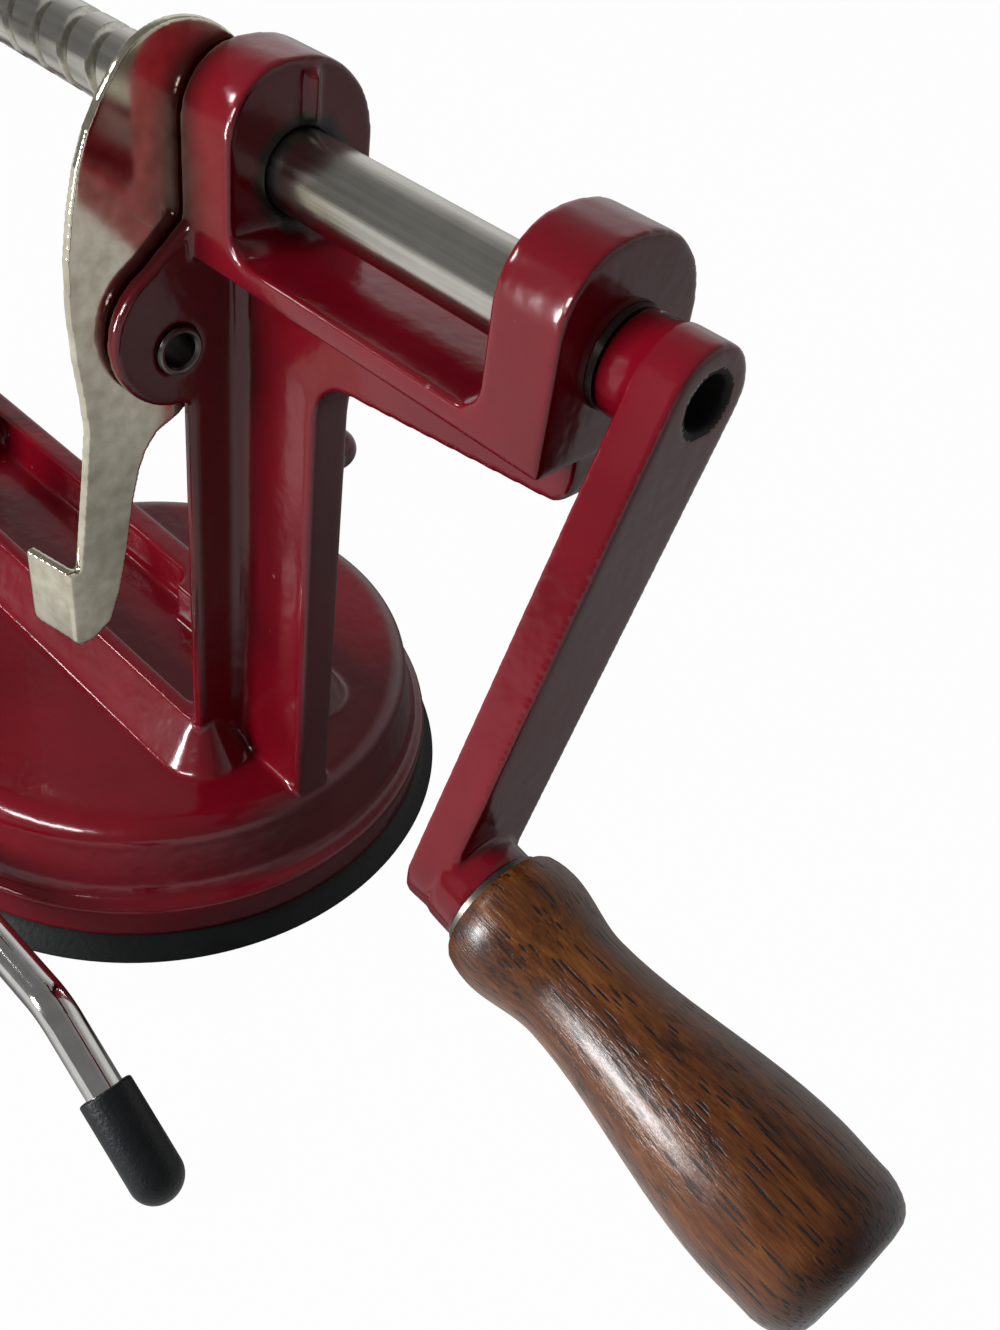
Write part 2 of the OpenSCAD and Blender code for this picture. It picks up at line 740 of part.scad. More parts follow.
module crank_arm() {
    half = arm_w / 2;
    color("firebrick") difference() {
        union() {
            crank_place() along_x(arm_x0, arm_t) {
                circle(half);
                translate([0, -crank_r]) circle(arm_end_r);
                polygon([[-half, 0], [half, 0], [arm_end_r, -crank_r], [-arm_end_r, -crank_r]]);
            }
            rod_x(collar_x, arm_x0 + 1, 0, shaft_h, collar_r);
            handle_place() translate([0, 0, -1.5]) cylinder(h = seat_l + 1.5, r = seat_r);
        }
        rod_x(collar_x - 1, arm_x1 + 1, 0, shaft_h, spigot_r);
        handle_place() translate([0, 0, -arm_t + 2]) cylinder(h = big, r = pin_r);
        crank_place() translate([collar_x + collar_l / 2, 0, 0]) cylinder(h = big, r = 1.2);
    }
}

module crank_pin() {
    color("gray") crank_place() translate([collar_x + collar_l / 2, 0, spigot_r])
        cylinder(h = collar_r - spigot_r - 0.3, r = 1.2);
}

module handle_pin() {
    color("silver") handle_place() translate([0, 0, -arm_t + 2]) cylinder(h = pin_l + arm_t - 2, r = pin_r);
}

module handle_washer() {
    color("gray") handle_place() translate([0, 0, seat_l]) difference() {
        cylinder(h = hand_washer_t, r = hand_washer_r);
        translate([0, 0, -1]) cylinder(h = 3, r = pin_r);
    }
}

// Turned outline of the grip: bead, waist, belly and butt
module grip_outline() {
    neck = grip_d * 0.33;
    bead = grip_d * 0.42;
    waist = grip_d * 0.345;
    belly = grip_d * 0.5;
    butt = grip_d * 0.36;
    lengths = [0, 0.075, 0.25, 0.8, 0.93, 1] * grip_l;
    radii = [neck, bead, waist, belly, belly * 0.965, butt];
    steps = 6;
    wave = [for (k = [0:4]) for (i = [0:steps - 1])
        [mix(radii[k], radii[k + 1], i / steps), lengths[k] + (lengths[k + 1] - lengths[k]) * i / steps]];
    polygon(concat([[0, 0]], wave, [[butt, grip_l], [0, grip_l]]));
}

module wood_grip() {
    color("sienna") handle_place() translate([0, 0, grip_start]) difference() {
        rotate_extrude() grip_outline();
        translate([0, 0, -1]) cylinder(h = pin_l - grip_start + 1.5, r = pin_r + run_fit);
    }
}

module blade_bracket() {
    half = blade_w / 2;
    color("gray") difference() {
        union() {
            translate([foot_x0, -half, rail_top]) cube([bracket_x1 - foot_x0, blade_w, bracket_t]);
            translate([bracket_x0, -half, rail_top]) cube([bracket_t, blade_w, bracket_top - rail_top]);
        }
        translate([0, 0, rail_top - 1]) linear_extrude(bracket_t + 2)
            rounded_bar(bolt_x - slot_half, bolt_x + slot_half, -bolt_r - 0.3, bolt_r + 0.3, bolt_r);
        for (z = rivet_zs) rod_x(bracket_x0 - 1, bracket_x1 + 1, 0, z, rivet_r);
    }
}

module slicer_blade() {
    half = blade_w / 2;
    ring_mid = blade_x1 - blade_t / 2;
    color("silver") difference() {
        union() {
            translate([bracket_x1, -half, blade_low]) cube([blade_t, blade_w, shaft_h - blade_low]);
            rod_x(ring_mid - ring_l / 2, ring_mid + ring_l / 2, 0, shaft_h, corer_r + ring_t);
        }
        rod_x(ring_mid - ring_l, ring_mid + ring_l, 0, shaft_h, corer_r);
        for (z = rivet_zs) rod_x(bracket_x1 - 1, blade_x1 + 1, 0, z, rivet_r);
    }
}

module blade_rivets() {
    color("silver") for (z = rivet_zs) {
        rod_x(bracket_x0, blade_x1, 0, z, rivet_r);
        rod_x(bracket_x0 - 1, bracket_x0, 0, z, rivet_r + 1.4);
        rod_x(blade_x1, blade_x1 + 1, 0, z, rivet_r + 1.4);
    }
}

module clamp_bolt() {
    color("silver") translate([bolt_x, 0, 0]) {
        translate([0, 0, rail_z - 3.5]) cylinder(h = 3.5, r = bolt_r * 1.9, $fn = 6);
        translate([0, 0, rail_z - 1]) cylinder(h = rail_top - rail_z + 1, r = bolt_r);
        translate([0, 0, rail_top]) cylinder(h = nut_z + nut_h + 4 - rail_top, r = bolt_r - run_fit);
    }
}

module clamp_washer() {
    color("silver") translate([bolt_x, 0, rail_top + bracket_t + seat_gap]) difference() {
        cylinder(h = clamp_t, r = nut_r + 1.6);
        translate([0, 0, -1]) cylinder(h = 5, r = bolt_r);
    }
}

module wing_nut() {
    wing_t = 2.2;
    color("silver") translate([bolt_x, 0, nut_z]) difference() {
        union() {
            cylinder(h = nut_h, r = nut_r);
            along_y(-wing_t / 2, wing_t) for (s = [-1, 1]) {
                translate([s * (nut_r + 2), nut_h]) circle(wing_r);
                polygon([[0, 1], [s * (nut_r + 2), nut_h - 3],
                    [s * (nut_r + 1), nut_h + 3], [0, nut_h - 0.5]]);
            }
        }
        translate([0, 0, -1]) cylinder(h = big, r = bolt_r);
    }
}

module peel_pivot() {
    color("silver") {
        rod_x(ear_x0 - 0.6, ear_x1 + ear_t, peel_y, peel_z, peel_pin_r);
        rod_x(ear_x1 + ear_t, ear_x1 + ear_t + 1.6, peel_y, peel_z, peel_pin_r + 1.5);
    }
}

module peel_spring() {
    echo("peeling arm spring least gap", coil_gap(peel_spring_r, spring_pitch, wire_d / 2));
    color("silver") translate([peel_spring_x + wire_d / 2, peel_y, peel_z])
        coil(peel_spring_r, spring_pitch, wire_d / 2, spring_turns);
}

module peel_arm() {
    foot_half = 4.6;
    top_half = 3.6;
    color("firebrick") difference() {
        union() {
            along_x(peel_x0, peel_t) {
                translate([peel_y, peel_z]) circle(peel_hub_r);
                polygon([[peel_y - foot_half, peel_z], [peel_y + foot_half, peel_z],
                    [peel_head_y + top_half, shaft_h - head_h / 2],
                    [peel_head_y - top_half, shaft_h - head_h / 2]]);
                translate([peel_y, peel_z + stop_h / 2]) square([stop_y - 0.05 - peel_y, stop_h / 2]);
            }
            translate([peel_mid - head_w / 2, peel_head_y - head_w / 2, shaft_h - head_h / 2 - 1])
                cube([head_w, head_w, head_h + 1]);
        }
        rod_x(peel_x0 - 1, peel_x1 + 1, peel_y, peel_z, peel_pin_r + run_fit);
        rod_y_way(peel_head_y - head_w, peel_head_y + head_w, peel_mid, shaft_h, peel_screw_r);
    }
}

module peel_blade() {
    half = peel_blade_w / 2;
    color("silver") difference() {
        union() {
            translate([peel_mid - half, peel_face, shaft_h - head_h / 2])
                cube([peel_blade_w, peel_strip_t, head_h]);
            intersection() {
                difference() {
                    rod_x(peel_mid - half, peel_mid + half, peel_face, shaft_h, peel_ring_r);
                    rod_x(peel_mid - big, peel_mid + big, peel_face, shaft_h, peel_ring_r - peel_strip_t);
                }
                translate([peel_mid - half, peel_face, 0]) cube([peel_blade_w, peel_ring_r + 1, big]);
            }
        }
        rod_y_way(peel_face - 1, peel_face + peel_strip_t + 1, peel_mid, shaft_h, peel_screw_r);
    }
}

module peel_screw() {
    back = peel_head_y - head_w / 2;
    color("gray") {
        rod_y_way(back, peel_face + peel_strip_t, peel_mid, shaft_h, peel_screw_r);
        rod_y_way(back - 2, back, peel_mid, shaft_h, peel_screw_r + 1.6);
        rod_y_way(peel_face + peel_strip_t, peel_face + peel_strip_t + 1.4, peel_mid, shaft_h,
            peel_screw_r + 1.2);
    }
}

base_casting();
upright_casting();
suction_cup();
suction_rod();
lever_cap();
lift_cam();
cup_yoke();
release_lever();
lever_eyelet();
lever_spring();
thrust_washer();
drive_shaft();
feed_screw();
fruit_fork();
fork_pin();
crank_arm();
crank_pin();
handle_pin();
handle_washer();
wood_grip();
blade_bracket();
slicer_blade();
blade_rivets();
clamp_bolt();
clamp_washer();
wing_nut();
peel_pivot();
peel_spring();
peel_arm();
peel_blade();
peel_screw();
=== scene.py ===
# %% [markdown]
# # A hand-cranked apple peeler
# The solids of this tool come from a CAD model, with every piece in its real place and size. This
# lesson dresses them: castings get the soft edges of poured metal under thick enamel, springs and
# the feed thread are wound finely, the grip is turned in wood, and every surface gets its finish.

# %% Load the frame
import json
import math

import bpy
from mathutils import Matrix, Vector

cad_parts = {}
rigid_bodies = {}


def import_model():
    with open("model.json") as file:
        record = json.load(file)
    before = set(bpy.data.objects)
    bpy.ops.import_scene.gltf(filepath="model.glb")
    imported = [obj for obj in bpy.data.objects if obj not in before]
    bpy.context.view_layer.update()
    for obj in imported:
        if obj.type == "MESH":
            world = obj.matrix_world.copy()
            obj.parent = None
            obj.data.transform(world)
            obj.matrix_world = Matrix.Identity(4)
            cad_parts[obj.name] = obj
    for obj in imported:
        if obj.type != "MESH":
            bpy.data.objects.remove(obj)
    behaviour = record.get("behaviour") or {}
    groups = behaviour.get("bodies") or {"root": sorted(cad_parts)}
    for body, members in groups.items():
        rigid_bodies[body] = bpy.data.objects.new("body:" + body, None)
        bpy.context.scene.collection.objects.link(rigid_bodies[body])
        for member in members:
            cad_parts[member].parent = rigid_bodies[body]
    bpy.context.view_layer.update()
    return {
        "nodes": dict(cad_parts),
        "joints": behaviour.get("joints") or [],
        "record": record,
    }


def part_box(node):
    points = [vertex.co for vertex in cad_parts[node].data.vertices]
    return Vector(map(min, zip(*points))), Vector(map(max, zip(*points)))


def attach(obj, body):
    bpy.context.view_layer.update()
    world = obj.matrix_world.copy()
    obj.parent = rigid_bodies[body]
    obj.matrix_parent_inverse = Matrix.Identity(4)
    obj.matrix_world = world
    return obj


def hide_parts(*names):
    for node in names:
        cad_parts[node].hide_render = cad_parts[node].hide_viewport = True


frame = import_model()
MM = 0.001
joints = {joint["name"]: joint for joint in frame["joints"]}

# %% [markdown]
# ## Camera
# The picture was taken from close by, in front of the crank and above it. The eye point, the three
# directions and the focal length in pixels were worked out from straight edges of the tool, so
# the camera is placed by numbers and not by eye.

# %% Photo camera
PICTURE = (1000, 1330)
FOCAL_PIXELS = 1380.06
OPTICAL_CENTRE = (495.69, 658.22)
EYE = Vector((187.24, -119.86, 222.05)) * MM
LOOK_RIGHT = Vector((0.7016, 0.7022, 0.1216))
LOOK_DOWN = Vector((0.5321, -0.4026, -0.7449))
LOOK_AHEAD = Vector((-0.4740, 0.5872, -0.6561))
SENSOR = 36.0
NEAR, FAR = 0.005, 50.0
HALF = 0.5

bpy.ops.object.camera_add()
camera = bpy.context.object
camera.name = "photo_camera"
long_side = max(PICTURE)
camera.data.sensor_width = SENSOR
camera.data.lens = SENSOR * FOCAL_PIXELS / long_side
camera.data.shift_x = (PICTURE[0] * HALF - OPTICAL_CENTRE[0]) / long_side
camera.data.shift_y = (OPTICAL_CENTRE[1] - PICTURE[1] * HALF) / long_side
camera.data.clip_start, camera.data.clip_end = NEAR, FAR
turn = Matrix((LOOK_RIGHT, -LOOK_DOWN, -LOOK_AHEAD)).transposed().to_quaternion()
camera.matrix_world = Matrix.Translation(EYE) @ turn.to_matrix().to_4x4()
bpy.context.scene.camera = camera
bpy.context.scene.view_settings.view_transform = "Standard"
print("lens in mm:", round(camera.data.lens, 2))

# %% [markdown]
# ## Shader sums
# Finishes are easier to read as sums than as wires. This class holds one output socket. Adding or
# multiplying two of them makes the Math node for it, and `node` makes any other node: settings
# are set first, then each socket gets a value or a link.

# %% Sockets that can be added and multiplied
MIX_FACTOR, MIX_LOW, MIX_HIGH, MIX_COLOUR = 0, 6, 7, 2


class Wire:
    """One output socket of a shader tree, with sums written as Python writes them."""

    def __init__(self, tree, socket=None):
        self.tree = tree
        self.socket = socket

    def node(self, kind, settings=None, sockets=None, out=0):
        made = self.tree.nodes.new("ShaderNode" + kind)
        for name, value in (settings or {}).items():
            if name == "stops":
                self.set_stops(made.color_ramp, value)
            else:
                setattr(made, name, value)
        for name, value in (sockets or {}).items():
            if isinstance(value, Wire):
                self.tree.links.new(value.socket, made.inputs[name])
            else:
                made.inputs[name].default_value = value
        return Wire(self.tree, made.outputs[out] if len(made.outputs) else None)

    @staticmethod
    def set_stops(ramp, stops):
        while len(ramp.elements) < len(stops):
            ramp.elements.new(1.0)
        for element, (place, shade) in zip(ramp.elements, stops):
            element.position = place
            element.color = (*shade, 1.0) if isinstance(shade, tuple) else (shade, shade, shade, 1.0)

    def maths(self, operation, *values):
        return self.node("Math", {"operation": operation}, dict(enumerate(values)))

    def __add__(self, other):
        return self.maths("ADD", self, other)

    def __mul__(self, other):
        return self.maths("MULTIPLY", self, other)

    def __sub__(self, other):
        return self.maths("SUBTRACT", self, other)

    def __rsub__(self, other):
        return self.maths("SUBTRACT", other, self)

    __radd__ = __add__
    __rmul__ = __mul__

    def ramp(self, *stops):
        return self.node("ValToRGB", {"stops": stops}, {"Fac": self})

    def fade(self, first, last, low, high):
        return self.node("MapRange", None, {
            "Value": self, "From Min": first, "From Max": last, "To Min": low, "To Max": high})

    def blend(self, low, high):
        sockets = {MIX_FACTOR: self, MIX_LOW: low, MIX_HIGH: high}
        return self.node("Mix", {"data_type": "RGBA"}, sockets, out=MIX_COLOUR)


def colour(red, green, blue):
    return (red, green, blue, 1.0)


# %% [markdown]
# ## Stage
# A pale floor and soft boxes stand in for a small photo studio. The camera sees the floor as white.
# A mirror sees it graded: a painted shadow, dark beside the tool, and painted light, paler further
# off and palest in front, because glossy enamel over an evenly white floor would wear a veil that
# the real one doesn't show. The floor's share in the lighting stays modest, so that faces turned
# away from the main box keep their depth.

# %% Floor
WHITE = colour(1.0, 1.0, 1.0)
FLOOR_GREY = colour(0.16, 0.16, 0.16)
FLOOR_SIZE = 12.0
FLOOR_DROP = 0.0003
FLOOR_LIFT = 0.985
FLOOR_PAINTED_SHADOW = 0.05
FRONT_PAINTED_LIGHT, FRONT_FROM, FRONT_TO = 0.80, 0.085, 0.115
BACK_PAINTED_LIGHT, BACK_FROM, BACK_TO = 0.47, 0.09, 0.25
FRONT_EDGE = 0.03


def ray_kinds(start):
    """Wires that are one for rays from the camera, from a mirror and through a glass."""
    outputs = start.node("LightPath").socket.node.outputs
    return [Wire(start.tree, outputs[name]) for name in
            ("Is Camera Ray", "Is Glossy Ray", "Is Transmission Ray")]


def empty_tree(owner):
    owner.use_nodes = True
    owner.node_tree.nodes.clear()
    return Wire(owner.node_tree)


bpy.ops.object.select_all(action="DESELECT")
bpy.ops.mesh.primitive_plane_add(size=FLOOR_SIZE, location=(0, 0, -FLOOR_DROP))
floor = bpy.context.object
floor.name = "floor"
floor_paint = bpy.data.materials.new("pale_floor")
start = empty_tree(floor_paint)
lit = start.node("BsdfDiffuse", None, {"Color": FLOOR_GREY})
bright = start.node("Emission", None, {"Color": WHITE, "Strength": 1.0})
seen, mirrored, through = ray_kinds(start)
place = start.node("TexCoord", None, None, out="Object")
away = start.node("VectorMath", {"operation": "LENGTH"}, {0: place}, out="Value")
across = start.node("SeparateXYZ", None, {0: place}, out="Y")
# Painted shadow beside the tool and painted light further off and in front, seen only by mirrors.
in_front = across.fade(-FRONT_EDGE, FRONT_EDGE, 1.0, 0.0)
front_painted_light = away.fade(FRONT_FROM, FRONT_TO, FLOOR_PAINTED_SHADOW, FRONT_PAINTED_LIGHT)
back_painted_light = away.fade(BACK_FROM, BACK_TO, FLOOR_PAINTED_SHADOW, BACK_PAINTED_LIGHT)
painted_floor_in_mirrors = in_front * front_painted_light + (1.0 - in_front) * back_painted_light
lift = (seen + through) * FLOOR_LIFT + mirrored * painted_floor_in_mirrors
mixed = start.node("MixShader", None, {0: lift, 1: lit, 2: bright})
start.node("OutputMaterial", None, {"Surface": mixed})
floor.data.materials.append(floor_paint)
print("stage:", floor.name)

# %% [markdown]
# ## World
# The world is what lies beyond the floor. The camera sees it as white. A mirror sees dim walls that
# are paler low down behind the tool, which gives bare metal something to show, and as a light the
# world is weak, so that the lamps draw the shadows.

# %% World
SKY_LEVEL = 0.13
SKY_DARK, SKY_HIGH, SKY_LOW = 0.20, 0.10, 0.55
LOW_BAND, HIGH_BAND = 0.42, 0.66
BEHIND_FROM, BEHIND_TO = 0.05, 0.45
world = bpy.data.worlds.new("studio")
bpy.context.scene.world = world
start = empty_tree(world)
seen, mirrored = ray_kinds(start)[:2]
direction = start.node("TexCoord", None, None, out="Generated")
height = start.node("SeparateXYZ", None, {0: direction}, out="Z")
depth = start.node("SeparateXYZ", None, {0: direction}, out="Y")
behind = depth.fade(BEHIND_FROM, BEHIND_TO, 0.0, 1.0)
walls = behind * height.fade(LOW_BAND, HIGH_BAND, SKY_LOW, SKY_HIGH) + SKY_DARK
mirror = start.node("Background", None, {"Color": WHITE, "Strength": walls})
soft = start.node("Background", None, {"Color": WHITE, "Strength": SKY_LEVEL})
plain = start.node("Background", None, {"Color": WHITE, "Strength": 1.0})
shade = start.node("MixShader", None, {0: mirrored, 1: soft, 2: mirror})
shade = start.node("MixShader", None, {0: seen, 1: shade, 2: plain})
start.node("OutputWorld", None, {"Surface": shade})
print("world:", world.name)

# %% [markdown]
# ## Lamps
# Two soft boxes light the tool. Three windows give no light of their own and are only there to be
# mirrored: a highlight on gloss is the picture of a lamp, so its size and place are set apart from
# the lighting.

# %% Soft boxes
AIM = Vector((30, 0, 80)) * MM


def soft_box(name, place, size, power, mirrored=True, lights=True):
    """An area lamp at a place in millimetres, turned towards the middle of the tool."""
    width, height = size
    bpy.ops.object.light_add(type="AREA", location=Vector(place) * MM)
    lamp = bpy.context.object
    lamp.name = name
    lamp.data.shape = "RECTANGLE"
    lamp.data.size, lamp.data.size_y = width * MM, height * MM
    lamp.data.energy = power
    lamp.rotation_euler = (AIM - lamp.location).to_track_quat("-Z", "Y").to_euler()
    lamp.visible_glossy = mirrored
    lamp.visible_diffuse = lights
    return lamp


soft_box("main_box", place=(-220, -760, 430), size=(320, 420), power=8.2, mirrored=False)
soft_box("top_box", place=(-160, 420, 760), size=(420, 220), power=0.8, mirrored=False)
low_window = soft_box("low_window", place=(-300, -870, 190), size=(120, 240), power=9.5, lights=False)
high_window = soft_box("high_window", place=(-600, -480, 560), size=(110, 110), power=1.4, lights=False)
front_window = soft_box("front_window", place=(150, -815, 470), size=(480, 130), power=7.0, lights=False)

# %% [markdown]
# ## Finishes
# Every finish is one Principled shader. What is the same all over a surface is set on the shader's
# own sockets. What changes is fed by noise on Object coordinates, which are metres here, so that a
# pattern keeps its real scale and stays in place when a piece moves.

# %% Helpers for finishes
def principled(name, **sockets):
    """A new material with one Principled shader, whose constants are set on its own sockets."""
    made = bpy.data.materials.new(name)
    start = empty_tree(made)
    shader = start.node("BsdfPrincipled", None, sockets)
    start.node("OutputMaterial", None, {"Surface": shader})
    return made, start, shader.socket.node


def feed(start, shader, **wires):
    """Links what changes over a surface to the shader's sockets of these names."""
    for name, wire in wires.items():
        start.tree.links.new(wire.socket, shader.inputs[name.replace("_", " ")])


def noise(start, scale, detail=2.0, roughness=0.5, vector=None):
    """Clouds of about one cell in 1 / scale metres, unless a vector gives other coordinates."""
    sockets = {"Scale": scale, "Detail": detail, "Roughness": roughness,
               "Vector": vector or start.node("TexCoord", None, None, out="Object")}
    return start.node("TexNoise", None, sockets)


def bump(start, height, strength, distance):
    return start.node("Bump", None, {"Height": height, "Strength": strength, "Distance": distance})


# %% [markdown]
# ## Enamel
# The castings are dipped in a thick, glossy dark red. On the real thing the coat pools a little,
# so its surface swims slightly in reflections, and dust leaves a few pin pricks. A clear coat over
# a red base gives the sharp highlight, and a broad noise the swimming. Where the shaft comes out of
# its bosses, a ring by the distance from the shaft's axis gets a painted shade, darker and rougher.

# %% Enamel finish
ENAMEL_DEEP = (0.150, 0.002, 0.008)
ENAMEL_RED = (0.205, 0.003, 0.012)
DEEP_AT, RED_AT = 0.3, 0.62
POOL_HIGH, SWIM_HIGH, LUMPS_HIGH = 0.5, 0.8, 0.34
ENAMEL_RELIEF, ENAMEL_DEPTH = 0.26, 0.0007
HAZE_ROUGH, ENAMEL_ROUGH = 0.10, 0.13

enamel, start, shader = principled("red_enamel", **{
    "Specular IOR Level": 0.36, "Coat Weight": 0.2, "Coat Roughness": 0.05, "IOR": 1.5})
pool = noise(start, scale=38.0, detail=3.0)
swim = noise(start, scale=170.0, detail=2.0)
lumps = noise(start, scale=420.0, detail=1.0)
haze = noise(start, scale=90.0, detail=3.0)
red = pool.ramp((DEEP_AT, ENAMEL_DEEP), (RED_AT, ENAMEL_RED))
print("enamel's red between", ENAMEL_DEEP, "and", ENAMEL_RED)

# %% Painted shade around the shaft, and pin pricks
SHAFT_RING_PAINTED_SHADE = colour(0.022, 0.018, 0.017)
SHADE_RING_FROM, SHADE_RING_TO, BOSS_END = 6.0 * MM, 11.0 * MM, 100.0 * MM
PATCHY_LIFT, PATCHY_FROM, PATCHY_TO = 0.25, 0.30, 0.52
SHADE_RING_ROUGH = 0.25
DUST = colour(0.42, 0.20, 0.20)
PRICK_SCALE, PRICK_EDGE, PRICK_PALE, PRICK_DEEP = 75.0, 0.035, 0.7, 0.5

shaft_at = Vector(joints["crank_turn"]["pos_m"])
place = start.node("TexCoord", None, None, out="Object")
from_shaft = start.node("VectorMath", {"operation": "SUBTRACT"}, {0: place, 1: shaft_at})
square_to_it = start.node("VectorMath", {"operation": "MULTIPLY"}, {0: from_shaft, 1: (0, 1, 1)})
reach = start.node("VectorMath", {"operation": "LENGTH"}, {0: square_to_it}, out="Value")
along = start.node("SeparateXYZ", None, {0: place}, out="X")
on_bosses = along.fade(BOSS_END, BOSS_END + MM, 1.0, 0.0)
near_shaft = reach.fade(SHADE_RING_FROM, SHADE_RING_TO, 1.0, 0.0) * on_bosses
patchy = noise(start, scale=330.0, detail=4.0, roughness=0.65) + PATCHY_LIFT
# Painted shade: a dark, rougher ring in the crease where the shaft enters its bosses.
painted_shade_ring = (near_shaft * patchy).ramp((PATCHY_FROM, 0.0), (PATCHY_TO, 1.0))
specks = start.node("TexVoronoi", {"feature": "F1"}, {"Scale": PRICK_SCALE, "Vector": place})
prick = specks.ramp((0.0, 1.0), (PRICK_EDGE, 0.0))
relief = swim * SWIM_HIGH + pool * POOL_HIGH + lumps * LUMPS_HIGH - prick * PRICK_DEEP
feed(start, shader,
     Base_Color=painted_shade_ring.blend((prick * PRICK_PALE).blend(red, DUST), SHAFT_RING_PAINTED_SHADE),
     Roughness=haze * HAZE_ROUGH + painted_shade_ring * SHADE_RING_ROUGH + ENAMEL_ROUGH,
     Normal=bump(start, relief, ENAMEL_RELIEF, ENAMEL_DEPTH))
print("finish:", enamel.name)

# %% [markdown]
# ## Plated and ground steel
# The release lever and the suction rod are plated and mirror their surroundings. The shaft is only
# ground, which leaves hair lines along it, so its noise is stretched along X before it is used. They
# differ only in tone, gloss and grain, so one function makes them all.

# %% Metal finishes
CLOUD_SCALE, POLISH_SCALE = 60.0, 420.0
DARK_AT, LIGHT_AT = 0.32, 0.66
POLISH_DEPTH = 0.0002


def stretched(start, along, across):
    """Object coordinates squeezed along X, so that a noise on them runs out into lines."""
    place = start.node("TexCoord", None, None, out="Object")
    return start.node("Mapping", None, {"Vector": place, "Scale": (along, across, across)})


def metal(name, dark, light, rough, spread, grain, lines=None):
    """Bare metal in two cloudy tones, with hair lines or with a fine grain all round."""
    made, start, shader = principled(name, Metallic=1.0)
    cloud = noise(start, scale=CLOUD_SCALE, detail=4.0, roughness=0.6)
    if lines:
        field = noise(start, scale=1.0, detail=3.0, roughness=0.6, vector=stretched(start, *lines))
    else:
        field = noise(start, scale=POLISH_SCALE, detail=3.0)
    feed(start, shader,
         Base_Color=(cloud * HALF + field * HALF).ramp((DARK_AT, dark), (LIGHT_AT, light)),
         Roughness=field * spread + cloud * spread + (rough - spread),
         Normal=bump(start, field, grain, POLISH_DEPTH))
    return made


plated = metal("nickel_plate", dark=(0.46, 0.42, 0.32), light=(0.80, 0.75, 0.61),
               rough=0.12, spread=0.06, grain=0.04)
chrome = metal("bright_chrome", dark=(0.56, 0.55, 0.52), light=(0.70, 0.69, 0.66),
               rough=0.08, spread=0.04, grain=0.02)
ground = metal("ground_shaft", dark=(0.40, 0.39, 0.35), light=(0.70, 0.68, 0.61),
               rough=0.24, spread=0.12, grain=0.16, lines=(25.0, 900.0))
steel = metal("satin_steel", dark=(0.42, 0.42, 0.41), light=(0.64, 0.64, 0.62),
              rough=0.30, spread=0.10, grain=0.10, lines=(60.0, 700.0))
# Dark steel for dark parts, and painted shade on the two washers that sit in shadowed gaps.
dark_steel = metal("oiled_steel", dark=(0.07, 0.066, 0.06), light=(0.20, 0.19, 0.175),
                   rough=0.38, spread=0.12, grain=0.10)
print("finishes:", [m.name for m in (plated, chrome, ground, steel, dark_steel)])

# %% [markdown]
# ## Rubber and the soft cap
# The suction cup is plain black rubber, dull and a little dusty. The cap on the lever is dipped
# plastic with a finer grain and a faint sheen. The blind hole in the crank gets a painted shade,
# near black. A flat black would look like a hole in the picture, so clouds of dust and a grain break it
# up.

# %% Black finishes
DUST_SCALE, DUST_FROM, DUST_TO = 55.0, 0.35, 0.75
GRAIN_ROUGH, GRAIN_DEPTH = 0.16, 0.0003


def dull_black(name, dark, dusty, rough, grain_scale, grain):
    """A dull black with pale dust in clouds, and with a fine grain."""
    made, start, shader = principled(name, **{"Specular IOR Level": 0.25})
    dust = noise(start, scale=DUST_SCALE, detail=4.0, roughness=0.65)
    fine = noise(start, scale=grain_scale, detail=2.0)
    feed(start, shader,
         Base_Color=dust.ramp((DUST_FROM, dark), (DUST_TO, dusty)),
         Roughness=fine * GRAIN_ROUGH + (rough - GRAIN_ROUGH * HALF),
         Normal=bump(start, fine, grain, GRAIN_DEPTH))
    return made


rubber = dull_black("black_rubber", dark=(0.004, 0.005, 0.005), dusty=(0.012, 0.013, 0.013),
                    rough=0.50, grain_scale=900.0, grain=0.25)
cap_plastic = dull_black("dipped_cap", dark=(0.004, 0.005, 0.006), dusty=(0.014, 0.016, 0.018),
                         rough=0.42, grain_scale=1500.0, grain=0.35)
# Painted shade for the inside of the crank's blind bore.
old_grease = dull_black("old_grease", dark=(0.0025, 0.0025, 0.0025), dusty=(0.007, 0.006, 0.005),
                        rough=0.65, grain_scale=900.0, grain=0.30)
print("finishes:", rubber.name, cap_plastic.name, old_grease.name)

# %% [markdown]
# ## Wood
# The grip is a brown hardwood with long streaks and short dark pores, under varnish. The pattern
# has to run along the grip, which hangs at a slant, so a Mapping node first turns the coordinates
# until X lies along the pin that the grip turns on. The end grain at the butt drinks more varnish,
# so it goes dark.

# %% Coordinates along the grip
handle_at = Vector(joints["handle_spin"]["pos_m"])
handle_way = Vector(joints["handle_spin"]["axis"]).normalized()

wood, start, shader = principled("varnished_wood", **{
    "Specular IOR Level": 0.30, "Coat Weight": 0.28, "Coat Roughness": 0.24, "IOR": 1.5})
lie_along = handle_way.to_track_quat("X", "Z").inverted().to_euler()
place = start.node("TexCoord", None, None, out="Object")
straight = start.node("Mapping", None, {"Vector": place, "Rotation": lie_along})


def along_grain(length, width):
    """Coordinates squeezed so that one noise cell is a streak of this length and width in mm."""
    scale = (1 / (length * MM), 1 / (width * MM), 1 / (width * MM))
    return start.node("Mapping", None, {"Vector": straight, "Scale": scale})


def streaks(length, width, detail, roughness):
    """A noise whose cells are streaks along the grip."""
    vector = along_grain(length, width)
    return noise(start, scale=1.0, detail=detail, roughness=roughness, vector=vector)


print("grip lies along", [round(v, 3) for v in handle_way])

